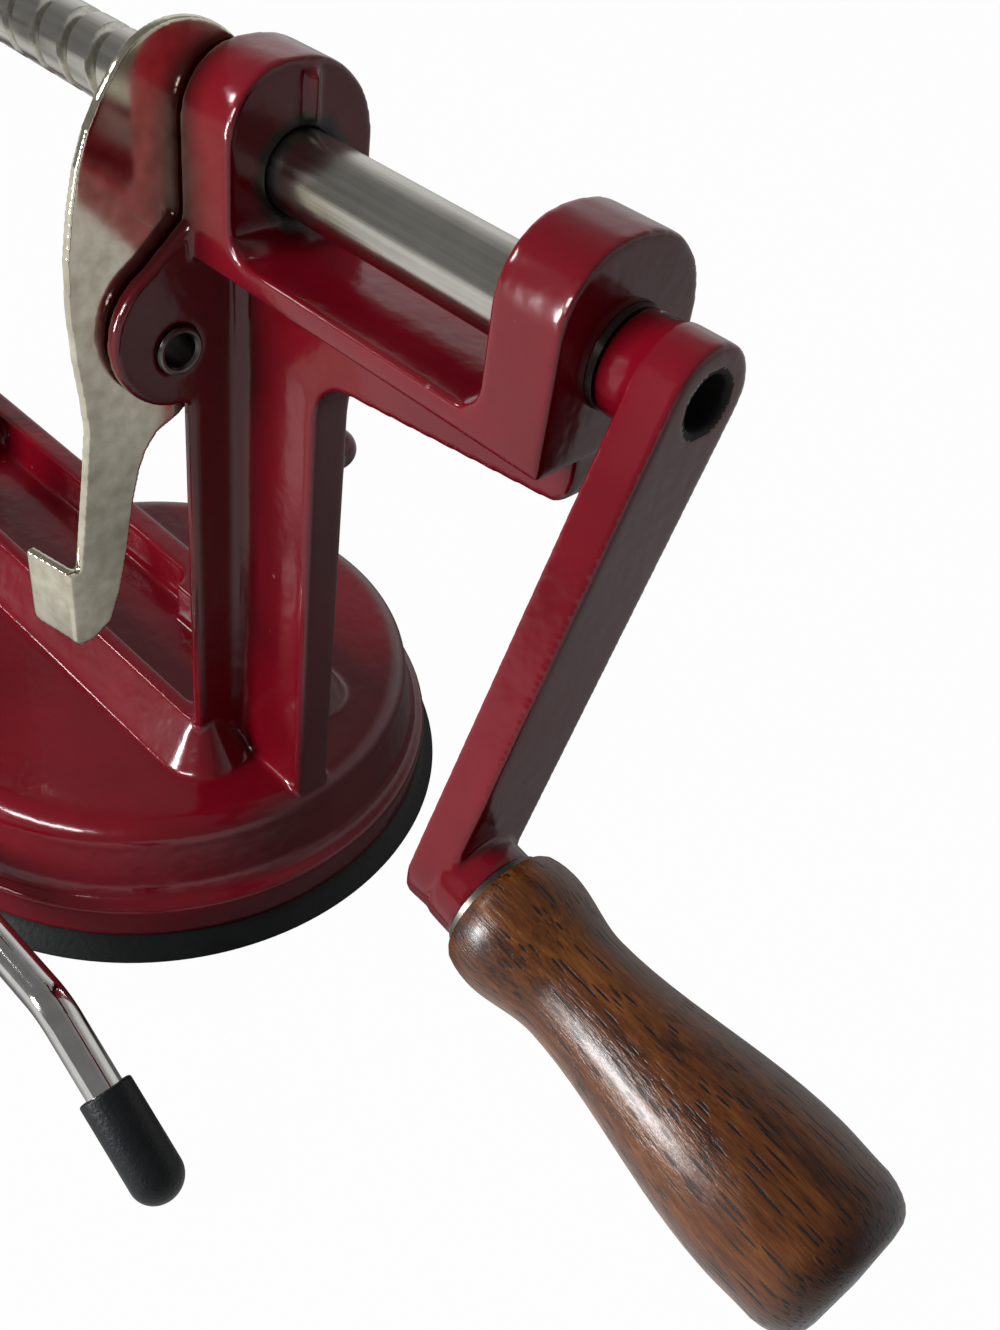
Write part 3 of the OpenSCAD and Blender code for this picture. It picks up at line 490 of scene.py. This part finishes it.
# %% Wood finish
WOOD_DARK = (0.034, 0.0085, 0.0026)
WOOD_MID = (0.125, 0.036, 0.0075)
WOOD_LIGHT = (0.27, 0.094, 0.018)
WOOD_DARK_AT, WOOD_MID_AT, WOOD_LIGHT_AT = 0.33, 0.50, 0.68
FIGURE_SHARE, STREAK_SHARE, FIBRE_SHARE, TONE_DROP = 0.50, 0.50, 0.46, 0.24
FIBRE_ROUGH, PORE_ROUGH, WOOD_ROUGH = 0.22, 0.2, 0.20
FIBRE_HIGH, STREAK_HIGH, PORE_DEEP = 0.9, 0.3, 0.3
WOOD_RELIEF, WOOD_DEPTH = 0.55, 0.0003

figure = streaks(length=55.0, width=11.0, detail=3.0, roughness=0.6)
streak = streaks(length=30.0, width=2.4, detail=4.0, roughness=0.65)
fibre = streaks(length=5.0, width=0.55, detail=3.0, roughness=0.7)
tone = figure * FIGURE_SHARE + streak * STREAK_SHARE + fibre * FIBRE_SHARE - TONE_DROP
body_colour = tone.ramp((WOOD_DARK_AT, WOOD_DARK), (WOOD_MID_AT, WOOD_MID), (WOOD_LIGHT_AT, WOOD_LIGHT))
print("wood between", WOOD_DARK, "and", WOOD_LIGHT)

# %% Pores and end grain
PORE = colour(0.005, 0.0018, 0.0012)
PORE_FROM, PORE_TO, PORE_SHARE = 0.23, 0.35, 0.96
PORES_FROM, PORES_TO = 0.31, 0.45
END_GRAIN = colour(0.018, 0.0055, 0.0030)
END_FROM, END_TO = 61.5 * MM, 65.5 * MM
END_WANDER, END_SHARE = 0.006, 0.85

cells = along_grain(length=8.0, width=0.62)
dashes = start.node("TexVoronoi", {"feature": "F1"}, {"Scale": 1.0, "Vector": cells})
patches = streaks(length=26.0, width=4.5, detail=2.0, roughness=0.5)
pore = dashes.ramp((PORE_FROM, 1.0), (PORE_TO, 0.0)) * patches.ramp((PORES_FROM, 0.0), (PORES_TO, 1.0))
along = start.node("SeparateXYZ", None, {0: straight}, out="X") - handle_at.dot(handle_way)
end_grain = (along + streak * END_WANDER).fade(END_FROM, END_TO, 0.0, END_SHARE)
relief = fibre * FIBRE_HIGH + streak * STREAK_HIGH - pore * PORE_DEEP
feed(start, shader,
     Base_Color=(pore * PORE_SHARE).blend(end_grain.blend(body_colour, END_GRAIN), PORE),
     Roughness=fibre * FIBRE_ROUGH + pore * PORE_ROUGH + WOOD_ROUGH,
     Normal=bump(start, relief, WOOD_RELIEF, WOOD_DEPTH))
print("finish:", wood.name)

# %% [markdown]
# ## Castings
# A poured casting has no sharp edge anywhere. A copy of the CAD solid is merged, rebuilt as an even
# skin by Remesh, and then smoothed, which rounds every edge and fills every inner corner in one
# go. Base and upright are one pour, so their copies are joined first, with the upright's foot a
# little lengthened into the base, and with the short ridge that the mould left on the inner boss.
# A Decimate then thins out the flat parts of the fine skin.

# %% Helpers for copies and modifiers
SAME_POINT = 0.002 * MM


def pick_only(piece):
    """Leaves edit mode and makes this piece the only one that is selected."""
    if bpy.context.object and bpy.context.object.mode != "OBJECT":
        bpy.ops.object.mode_set(mode="OBJECT")
    bpy.ops.object.select_all(action="DESELECT")
    bpy.context.view_layer.objects.active = piece
    piece.select_set(True)


def take_copy(node, name):
    """A free copy of a CAD node, with its loose triangles joined into one skin."""
    pick_only(frame["nodes"][node])
    bpy.ops.object.duplicate()
    piece = bpy.context.object
    bpy.ops.object.parent_clear(type="CLEAR_KEEP_TRANSFORM")
    for key in list(piece.keys()):
        del piece[key]
    piece.name = piece.data.name = name
    bpy.ops.object.mode_set(mode="EDIT")
    bpy.ops.mesh.select_all(action="SELECT")
    bpy.ops.mesh.remove_doubles(threshold=SAME_POINT)
    bpy.ops.object.mode_set(mode="OBJECT")
    bpy.ops.mesh.customdata_custom_splitnormals_clear()
    return piece


def close_skin():
    """Merges doubled points, turns all faces outwards and leaves edit mode."""
    bpy.ops.mesh.select_all(action="SELECT")
    bpy.ops.mesh.remove_doubles(threshold=SAME_POINT)
    bpy.ops.mesh.normals_make_consistent(inside=False)
    bpy.ops.object.mode_set(mode="OBJECT")


def use_modifier(piece, kind, **settings):
    """Adds a modifier with these settings and applies it."""
    pick_only(piece)
    bpy.ops.object.modifier_add(type=kind)
    modifier = piece.modifiers[-1]
    for name, value in settings.items():
        setattr(modifier, name, value)
    bpy.ops.object.modifier_apply(modifier=modifier.name)


def finish_piece(piece, body, slot, paint, *nodes):
    """Gives a finished piece its paint, its body and the nodes that it stands for. The slot is not used.
    """
    piece.data.materials.clear()
    piece.data.materials.append(paint)
    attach(piece, body)
    if nodes:
        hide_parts(*nodes)
    print(piece.name, "faces:", len(piece.data.polygons))


def soften(piece, skin, rounds):
    """Rebuilds a solid as an even skin, with faces of this size in mm, and rounds its edges."""
    use_modifier(piece, "REMESH", mode="VOXEL", voxel_size=skin * MM, adaptivity=0.0)
    use_modifier(piece, "SMOOTH", factor=HALF, iterations=rounds)
    pick_only(piece)
    bpy.ops.object.shade_smooth()


# %% Base and upright in one pour
CASTING_SKIN, CASTING_ROUNDS = 0.48, 15
FOOT_SINK = 11.5 * MM
NEAR_FOOT = 0.02 * MM
MOST_FACES, TRIANGLES_A_FACE = 190000, 2
RIDGE_AT = Vector((43.75, 1.0, 154.2)) * MM
RIDGE_SIZE = Vector((1.4, 1.4, 6.8)) * MM
RIDGE_TURN = (0, 0, math.radians(45))
upright = take_copy("upright_casting", "upright_part")
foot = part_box("upright_casting")[0].z
for vertex in upright.data.vertices:
    if vertex.co.z < foot + NEAR_FOOT:
        vertex.co.z -= FOOT_SINK
bpy.ops.object.select_all(action="DESELECT")
bpy.ops.mesh.primitive_cube_add(size=1, location=RIDGE_AT, scale=RIDGE_SIZE, rotation=RIDGE_TURN)
ridge = bpy.context.object
bpy.ops.object.transform_apply(location=True, rotation=True, scale=True)
casting = take_copy("base_casting", "casting_shell")
upright.select_set(True)
ridge.select_set(True)
bpy.ops.object.join()
soften(casting, CASTING_SKIN, CASTING_ROUNDS)
triangles = TRIANGLES_A_FACE * len(casting.data.polygons)
use_modifier(casting, "DECIMATE", ratio=min(1.0, MOST_FACES / triangles))
finish_piece(casting, "frame", "enamel", enamel, "base_casting", "upright_casting")

# %% Crank and peeling arm
CRANK_SKIN, CRANK_ROUNDS = 0.42, 12
ARM_SKIN, ARM_ROUNDS = 0.4, 8
BORE_SHADE_SLOT, BORE_REACH = 1, 4.5 * MM
crank = take_copy("crank_arm", "crank_shell")
soften(crank, CRANK_SKIN, CRANK_ROUNDS)
finish_piece(crank, "crank", "enamel", enamel, "crank_arm")
# Faces inside the crank's bore get the near-black painted shade.
crank.data.materials.append(old_grease)
for face in crank.data.polygons:
    away = face.center - shaft_at
    if math.hypot(away.y, away.z) < BORE_REACH:
        face.material_index = BORE_SHADE_SLOT

arm = take_copy("peel_arm", "peeling_arm_shell")
soften(arm, ARM_SKIN, ARM_ROUNDS)
finish_piece(arm, "peeler", "enamel", enamel, "peel_arm")

# %% [markdown]
# ## Turned pieces
# The grip, the cup and the eyelet are round, so each is turned as on a lathe: a circle is
# added, and ring after ring is extruded along the outline and resized to its radius. Each pair in
# a list of stations is one ring: its radius, and its place along the axis.

# %% Lathe
ROUND = 96
SMOOTH_ANGLE = math.radians(35)


def turned(name, stations, axis, place, ring=False, sides=ROUND):
    """Turns a piece from (radius, length) stations in millimetres, then lays it along an axis."""
    bpy.ops.object.select_all(action="DESELECT")
    radius, length = stations[0]
    bpy.ops.mesh.primitive_circle_add(vertices=sides, radius=radius * MM, location=(0, 0, length * MM),
                                      fill_type="NOTHING" if ring else "NGON")
    piece = bpy.context.object
    piece.name = piece.data.name = name
    bpy.ops.object.transform_apply(location=True)
    bpy.ops.object.mode_set(mode="EDIT")
    bpy.ops.mesh.select_all(action="SELECT")
    for (radius, length), (next_radius, next_length) in zip(stations, stations[1:]):
        step = (0, 0, (next_length - length) * MM)
        bpy.ops.mesh.extrude_region_move(TRANSFORM_OT_translate={"value": step})
        change = next_radius / radius
        bpy.ops.transform.resize(value=(change, change, 1), center_override=(0, 0, next_length * MM))
    close_skin()
    lie = Vector(axis).to_track_quat("Z", "Y").to_matrix().to_4x4()
    piece.matrix_world = Matrix.Translation(place) @ lie
    bpy.ops.object.transform_apply(location=True, rotation=True, scale=True)
    bpy.ops.object.shade_smooth_by_angle(angle=SMOOTH_ANGLE)
    return piece


def ease(start_value, end_value, share):
    """Goes from one value to the other, slowly at both ends."""
    return start_value + (end_value - start_value) * share * share * (3 - 2 * share)


# %% Wooden grip
GRIP_LENGTH = 60.0
GRIP_START = 4.4
GRIP_RADII = (9.74, 8.0, 11.6, 11.3)
GRIP_SHARES = (0.075, 0.25, 0.8, 0.92)
GRIP_NECK = [(7.9, 0.0), (8.7, 0.25), (9.2, 0.9), (9.5, 2.0), (9.68, 3.2)]
GRIP_BUTT = [(11.3, 55.2), (11.0, 56.6), (10.55, 57.8), (9.95, 58.8), (9.2, 59.5), (8.3, 59.95),
             (6.5, 60.25), (0.6, 60.5)]
GRIP_STEPS = 12
BORE, BORE_DEPTH = 3.08, 52.0

outline = [(BORE, BORE_DEPTH), (BORE, 0.0)] + GRIP_NECK
for k in range(len(GRIP_RADII) - 1):
    for i in range(GRIP_STEPS):
        share = i / GRIP_STEPS
        length = GRIP_SHARES[k] + (GRIP_SHARES[k + 1] - GRIP_SHARES[k]) * share
        outline.append((ease(GRIP_RADII[k], GRIP_RADII[k + 1], share), length * GRIP_LENGTH))
grip = turned("turned_grip", outline + GRIP_BUTT, handle_way, handle_at + handle_way * GRIP_START * MM)
finish_piece(grip, "grip", "wood", wood, "wood_grip")

# %% Suction cup
cup_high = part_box("suction_cup")[1]
CUP_RADIUS = cup_high.x / MM
CUP_HEIGHT = cup_high.z / MM
CUP_SKIN, CUP_HOLE, FOOT_RADIUS = 2.2, 48.8, 57.2
CUP_MIDDLE, CUP_SIDES = 1.0, 160
# the thin skin, the inner wall, the top face, the flared lip, the sole
cup_outline = [
    (CUP_MIDDLE, CUP_SKIN), (CUP_HOLE - 1.5, CUP_SKIN),
    (CUP_HOLE, CUP_SKIN + 0.6), (CUP_HOLE, CUP_HEIGHT - 0.4),
    (CUP_HOLE + 0.4, CUP_HEIGHT), (FOOT_RADIUS - 0.4, CUP_HEIGHT), (FOOT_RADIUS, CUP_HEIGHT - 0.25),
    (FOOT_RADIUS + 1.4, CUP_HEIGHT - 1.6), (CUP_RADIUS - 0.9, 1.75), (CUP_RADIUS - 0.3, 1.2),
    (CUP_RADIUS, 0.7), (CUP_RADIUS - 0.15, 0.25), (CUP_RADIUS - 0.7, 0.0), (CUP_MIDDLE, 0.0)]
cup = turned("cup_rubber", cup_outline, (0, 0, 1), Vector(), sides=CUP_SIDES)
finish_piece(cup, "frame", "rubber", rubber, "suction_cup")

# %% Eyelet of the release lever
pivot = Vector(joints["release_press"]["pos_m"])
eye_low, eye_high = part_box("lever_eyelet")
EYE_TUBE, EYE_HOLE, EYE_LIP, EYE_FLANGE = 3.4, 2.7, 3.9, 6.0
EYE_SIDES = 64
eye_length = (eye_high.x - eye_low.x) / MM
# the flange, the tube, the rolled lip, and back through the hole
eye_outline = [
    (EYE_HOLE, 0.0), (EYE_HOLE + 0.3, -0.05), (EYE_FLANGE - 0.2, 0.0),
    (EYE_FLANGE, 0.25), (EYE_FLANGE, 0.6), (EYE_FLANGE - 0.2, 0.8),
    (EYE_TUBE + 0.1, 0.8), (EYE_TUBE, 1.0), (EYE_TUBE, eye_length - 0.8),
    (EYE_LIP - 0.15, eye_length - 0.78), (EYE_LIP, eye_length - 0.5), (EYE_LIP - 0.15, eye_length - 0.15),
    (EYE_LIP - 0.5, eye_length), (EYE_HOLE + 0.3, eye_length - 0.1),
    (EYE_HOLE, eye_length - 0.5), (EYE_HOLE, 0.0)]
eye_at = Vector((eye_low.x, pivot.y, pivot.z))
eyelet = turned("rolled_eyelet", eye_outline, (1, 0, 0), eye_at, ring=True, sides=EYE_SIDES)
finish_piece(eyelet, "frame", "chrome", dark_steel, "lever_eyelet")

# %% [markdown]
# ## Bent bar
# The suction lever is a round bar with two bends. A disc is extruded for each straight length and
# spun about the bend's centre for each bend, so that the chrome runs through the bends without a
# seam. It is made lying level, and then raised by its small slope about the bearing.

# %% Suction lever
ROD, BEND, DROOP_BEND = 3.25, 8.0, 12.0
ROD_IN, ROD_LEVEL, ROD_DROOP = 44.05, 60.0, 31.0
RISE, DROOP = math.radians(2.4), math.radians(33.4)
ROD_SIDES, BEND_STEPS = 64, 24
STUB_RADIUS = 2.2
QUARTER_TURN = math.radians(90)
bearing = Vector(joints["suction_throw"]["pos_m"])
stub_length = (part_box("suction_rod")[1].y - bearing.y) / MM - ROD_IN
droop_in = DROOP_BEND * math.tan(DROOP * HALF)


def extrude(step):
    """Draws the bar's end on by a step in millimetres."""
    bpy.ops.mesh.extrude_region_move(TRANSFORM_OT_translate={"value": Vector(step) * MM})


def bend(centre, axis, angle):
    """Turns the bar's end about a centre. Spin counts its angle the other way round."""
    bpy.ops.mesh.spin(steps=BEND_STEPS, angle=-angle, center=Vector(centre) * MM, axis=axis)


bpy.ops.object.select_all(action="DESELECT")
bpy.ops.mesh.primitive_circle_add(vertices=ROD_SIDES, radius=ROD * MM, fill_type="NGON",
                                  location=(0, ROD_IN * MM, 0), rotation=(QUARTER_TURN, 0, 0))
rod = bpy.context.object
rod.name = rod.data.name = "bent_rod"
bpy.ops.object.transform_apply(location=True, rotation=True)
bpy.ops.object.mode_set(mode="EDIT")
bpy.ops.mesh.select_all(action="SELECT")
extrude((0, BEND - ROD_IN, 0))
bend((BEND, BEND, 0), (0, 0, 1), QUARTER_TURN)
extrude((ROD_LEVEL - droop_in - BEND, 0, 0))
bend((ROD_LEVEL - droop_in, 0, -DROOP_BEND), (0, 1, 0), DROOP)
extrude(Vector((math.cos(DROOP), 0, -math.sin(DROOP))) * (ROD_DROOP - droop_in))
close_skin()
rod.matrix_world = Matrix.Translation(bearing) @ Matrix.Rotation(-RISE, 4, "Y")
bpy.ops.object.transform_apply(location=True, rotation=True)
stub_at = bearing + Vector((0, ROD_IN + stub_length * HALF, 0)) * MM
bpy.ops.mesh.primitive_cylinder_add(vertices=ROD_SIDES, radius=STUB_RADIUS * MM, depth=stub_length * MM,
                                    location=stub_at, rotation=(QUARTER_TURN, 0, 0))
stub = bpy.context.object
bpy.ops.object.transform_apply(location=True, rotation=True)
pick_only(rod)
stub.select_set(True)
bpy.ops.object.join()
bpy.ops.object.shade_smooth_by_angle(angle=SMOOTH_ANGLE)
finish_piece(rod, "suction_lever", "chrome", chrome, "suction_rod")
rod_box = [[round(f(v.co[i] for v in rod.data.vertices) / MM, 1) for i in range(3)] for f in (min, max)]

# %% [markdown]
# ## Wound pieces
# The two coil springs and the feed thread are wound by the Screw modifier, which turns an outline
# about X while it moves along. The thread's outline is one pitch long, so each turn meets the
# next, and both ends are cut square with Bisect.

# %% Springs
WIRE, COIL_PITCH, COIL_TURNS = 0.6, 1.8, 3
WIRE_SIDES, COIL_STEPS = 14, 40


def spring(name, node, coil_radius, body):
    """A coil of round wire in the place of a CAD spring, with closed ends."""
    low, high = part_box(node)
    middle = (low + high) * HALF
    bpy.ops.object.select_all(action="DESELECT")
    bpy.ops.mesh.primitive_circle_add(vertices=WIRE_SIDES, radius=WIRE * MM,
                                      location=(0, coil_radius * MM, 0))
    piece = bpy.context.object
    piece.name = piece.data.name = name
    bpy.ops.object.transform_apply(location=True)
    use_modifier(piece, "SCREW", axis="X", angle=math.tau, iterations=COIL_TURNS,
                 steps=COIL_STEPS, render_steps=COIL_STEPS, screw_offset=COIL_PITCH * MM)
    bpy.ops.object.mode_set(mode="EDIT")
    bpy.ops.mesh.select_all(action="SELECT")
    bpy.ops.mesh.fill_holes(sides=0)
    bpy.ops.mesh.select_all(action="SELECT")
    bpy.ops.mesh.normals_make_consistent(inside=False)
    bpy.ops.object.mode_set(mode="OBJECT")
    piece.location = (low.x + WIRE * MM, middle.y, middle.z)
    bpy.ops.object.transform_apply(location=True)
    bpy.ops.object.shade_smooth_by_angle(angle=SMOOTH_ANGLE)
    finish_piece(piece, body, "steel", steel, node)


spring("lever_coil", "lever_spring", coil_radius=4.78, body="frame")
spring("peeling_arm_coil", "peel_spring", coil_radius=3.8, body="frame")

# %% Outline of the feed thread
screw_low, screw_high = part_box("feed_screw")
SHAFT_RADIUS, GROOVE_FLOOR, PITCH = 6.0, 4.65, 7.75
GROOVE_HALF, GROOVE_SLOPE, GROOVE_EDGE = 1.32, 0.34, 0.16
TOOTH_X, TOOTH_ANGLE = 30.75, math.radians(150)
TURNS_AFTER, THREAD_STEPS = 3, 64
thread_outline = [
    (-PITCH * HALF, SHAFT_RADIUS), (-GROOVE_HALF - GROOVE_EDGE, SHAFT_RADIUS),
    (-GROOVE_HALF, SHAFT_RADIUS - GROOVE_EDGE), (-GROOVE_HALF + GROOVE_SLOPE, GROOVE_FLOOR),
    (GROOVE_HALF - GROOVE_SLOPE, GROOVE_FLOOR), (GROOVE_HALF, SHAFT_RADIUS - GROOVE_EDGE),
    (GROOVE_HALF + GROOVE_EDGE, SHAFT_RADIUS), (PITCH * HALF, SHAFT_RADIUS)]
turns_before = math.ceil((TOOTH_X - screw_low.x / MM) / PITCH) + 1
turns_all = turns_before + TURNS_AFTER
print("thread turns before the cut:", turns_all)

# %% Feed thread
bpy.ops.object.select_all(action="DESELECT")
bpy.ops.mesh.primitive_plane_add(size=MM)
thread = bpy.context.object
thread.name = thread.data.name = "feed_thread"
bpy.ops.object.mode_set(mode="EDIT")
bpy.ops.mesh.select_all(action="SELECT")
bpy.ops.mesh.merge(type="CENTER")
first = Vector((thread_outline[0][0], thread_outline[0][1], 0)) * MM
bpy.ops.transform.translate(value=first)
for (x, radius), (next_x, next_radius) in zip(thread_outline, thread_outline[1:]):
    step = Vector((next_x - x, next_radius - radius, 0)) * MM
    bpy.ops.mesh.extrude_region_move(TRANSFORM_OT_translate={"value": step})
bpy.ops.object.mode_set(mode="OBJECT")
use_modifier(thread, "SCREW", axis="X", angle=math.tau, iterations=turns_all,
             steps=THREAD_STEPS, render_steps=THREAD_STEPS, screw_offset=PITCH * MM,
             use_merge_vertices=True, merge_threshold=SAME_POINT)
thread_at = Vector((TOOTH_X * MM - turns_before * PITCH * MM, 0, shaft_at.z))
thread.matrix_world = Matrix.Translation(thread_at) @ Matrix.Rotation(TOOTH_ANGLE, 4, "X")
bpy.ops.object.transform_apply(location=True, rotation=True)
bpy.ops.object.mode_set(mode="EDIT")
for cut, outward in ((screw_low.x, (-1, 0, 0)), (screw_high.x, (1, 0, 0))):
    bpy.ops.mesh.select_all(action="SELECT")
    bpy.ops.mesh.bisect(plane_co=(cut, 0, 0), plane_no=outward, use_fill=True, clear_outer=True)
close_skin()
bpy.ops.object.shade_smooth_by_angle(angle=SMOOTH_ANGLE)
finish_piece(thread, "crank", "chrome", ground, "feed_screw")

# %% [markdown]
# ## Stamped and small parts
# The release lever is stamped from sheet, and sheet has a narrow rounded edge that catches light.
# Its outline is one long curve of short edges, where a bevel would pinch, so it gets an even skin as
# the castings do, only finer. The folded bracket, the wing nut and the dipped sleeve have clean flat
# faces: their triangles are dissolved into these first, and then the edges get a bevel.

# %% Stamped lever
LEVER_SKIN, LEVER_ROUNDS = 0.26, 5
lever = take_copy("release_lever", "stamped_lever")
soften(lever, LEVER_SKIN, LEVER_ROUNDS)
finish_piece(lever, "release", "chrome", plated, "release_lever")

# %% Bevelled copies
FLAT_ANGLE = math.radians(1.0)
EDGE_ANGLE = math.radians(40)


def edged(node, name, body, slot, paint, width):
    """A copy of a CAD node whose edges are slightly rounded."""
    piece = take_copy(node, name)
    bpy.ops.object.mode_set(mode="EDIT")
    bpy.ops.mesh.select_all(action="SELECT")
    bpy.ops.mesh.dissolve_limited(angle_limit=FLAT_ANGLE)
    bpy.ops.object.mode_set(mode="OBJECT")
    use_modifier(piece, "BEVEL", width=width * MM, segments=3, limit_method="ANGLE",
                 angle_limit=EDGE_ANGLE, use_clamp_overlap=True, harden_normals=False)
    pick_only(piece)
    bpy.ops.object.shade_smooth_by_angle(angle=SMOOTH_ANGLE)
    finish_piece(piece, body, slot, paint, node)


edged("lever_cap", "dipped_sleeve", "suction_lever", "black_cap", cap_plastic, width=0.5)
edged("blade_bracket", "folded_bracket", "blade", "steel", steel, width=0.5)
edged("wing_nut", "wing_nut_edged", "nut", "steel", steel, width=0.35)

# %% [markdown]
# ## Finishes for the other nodes
# What the CAD model already shapes well keeps its solid and only gets a finish, chosen by the
# slot that the record names for it.

# %% Paint the carried-over nodes
PAINTS = {"enamel": enamel, "chrome": chrome, "steel": steel, "dark_steel": dark_steel, "wood": wood,
          "rubber": rubber, "black_cap": cap_plastic}
# The two washers get the dark steel as painted shade, for the shadowed gaps they sit in.
SPECIAL = {"drive_shaft": ground, "fruit_fork": plated,
           "thrust_washer": dark_steel, "handle_washer": dark_steel}
slots = {part["node"]: part["material_slot"] for part in frame["record"]["subparts"]}
for node, holder in frame["nodes"].items():
    holder.data.materials.clear()
    holder.data.materials.append(SPECIAL.get(node, PAINTS[slots[node]]))
print("nodes painted:", len(frame["nodes"]))

# %% [markdown]
# ## Cards in front of the lamps
# A photographer holds a black card between a lamp and a piece that would glare. Light linking does
# the same: a lamp gets a collection of pieces, and those marked there as left out get none of its
# light. If they are marked as included, they alone get it. The ground shaft, its thread and the
# crank's flat front would glare, and the front window is there for the casting's rims alone.

# %% Light linking
def hold_card(lamp, state, *pieces):
    """Leaves pieces out of a lamp's light, or keeps its light for them alone."""
    card = bpy.data.collections.new(lamp.name + "_card")
    for piece in pieces:
        card.objects.link(piece)
    for member in card.collection_objects:
        member.light_linking.link_state = state
    lamp.light_linking.receiver_collection = card
    print(lamp.name, state.lower(), [piece.name for piece in pieces])


plain_shaft = frame["nodes"]["drive_shaft"]
hold_card(low_window, "EXCLUDE", plain_shaft, thread, crank)
hold_card(high_window, "EXCLUDE", plain_shaft, thread)
hold_card(front_window, "INCLUDE", casting)
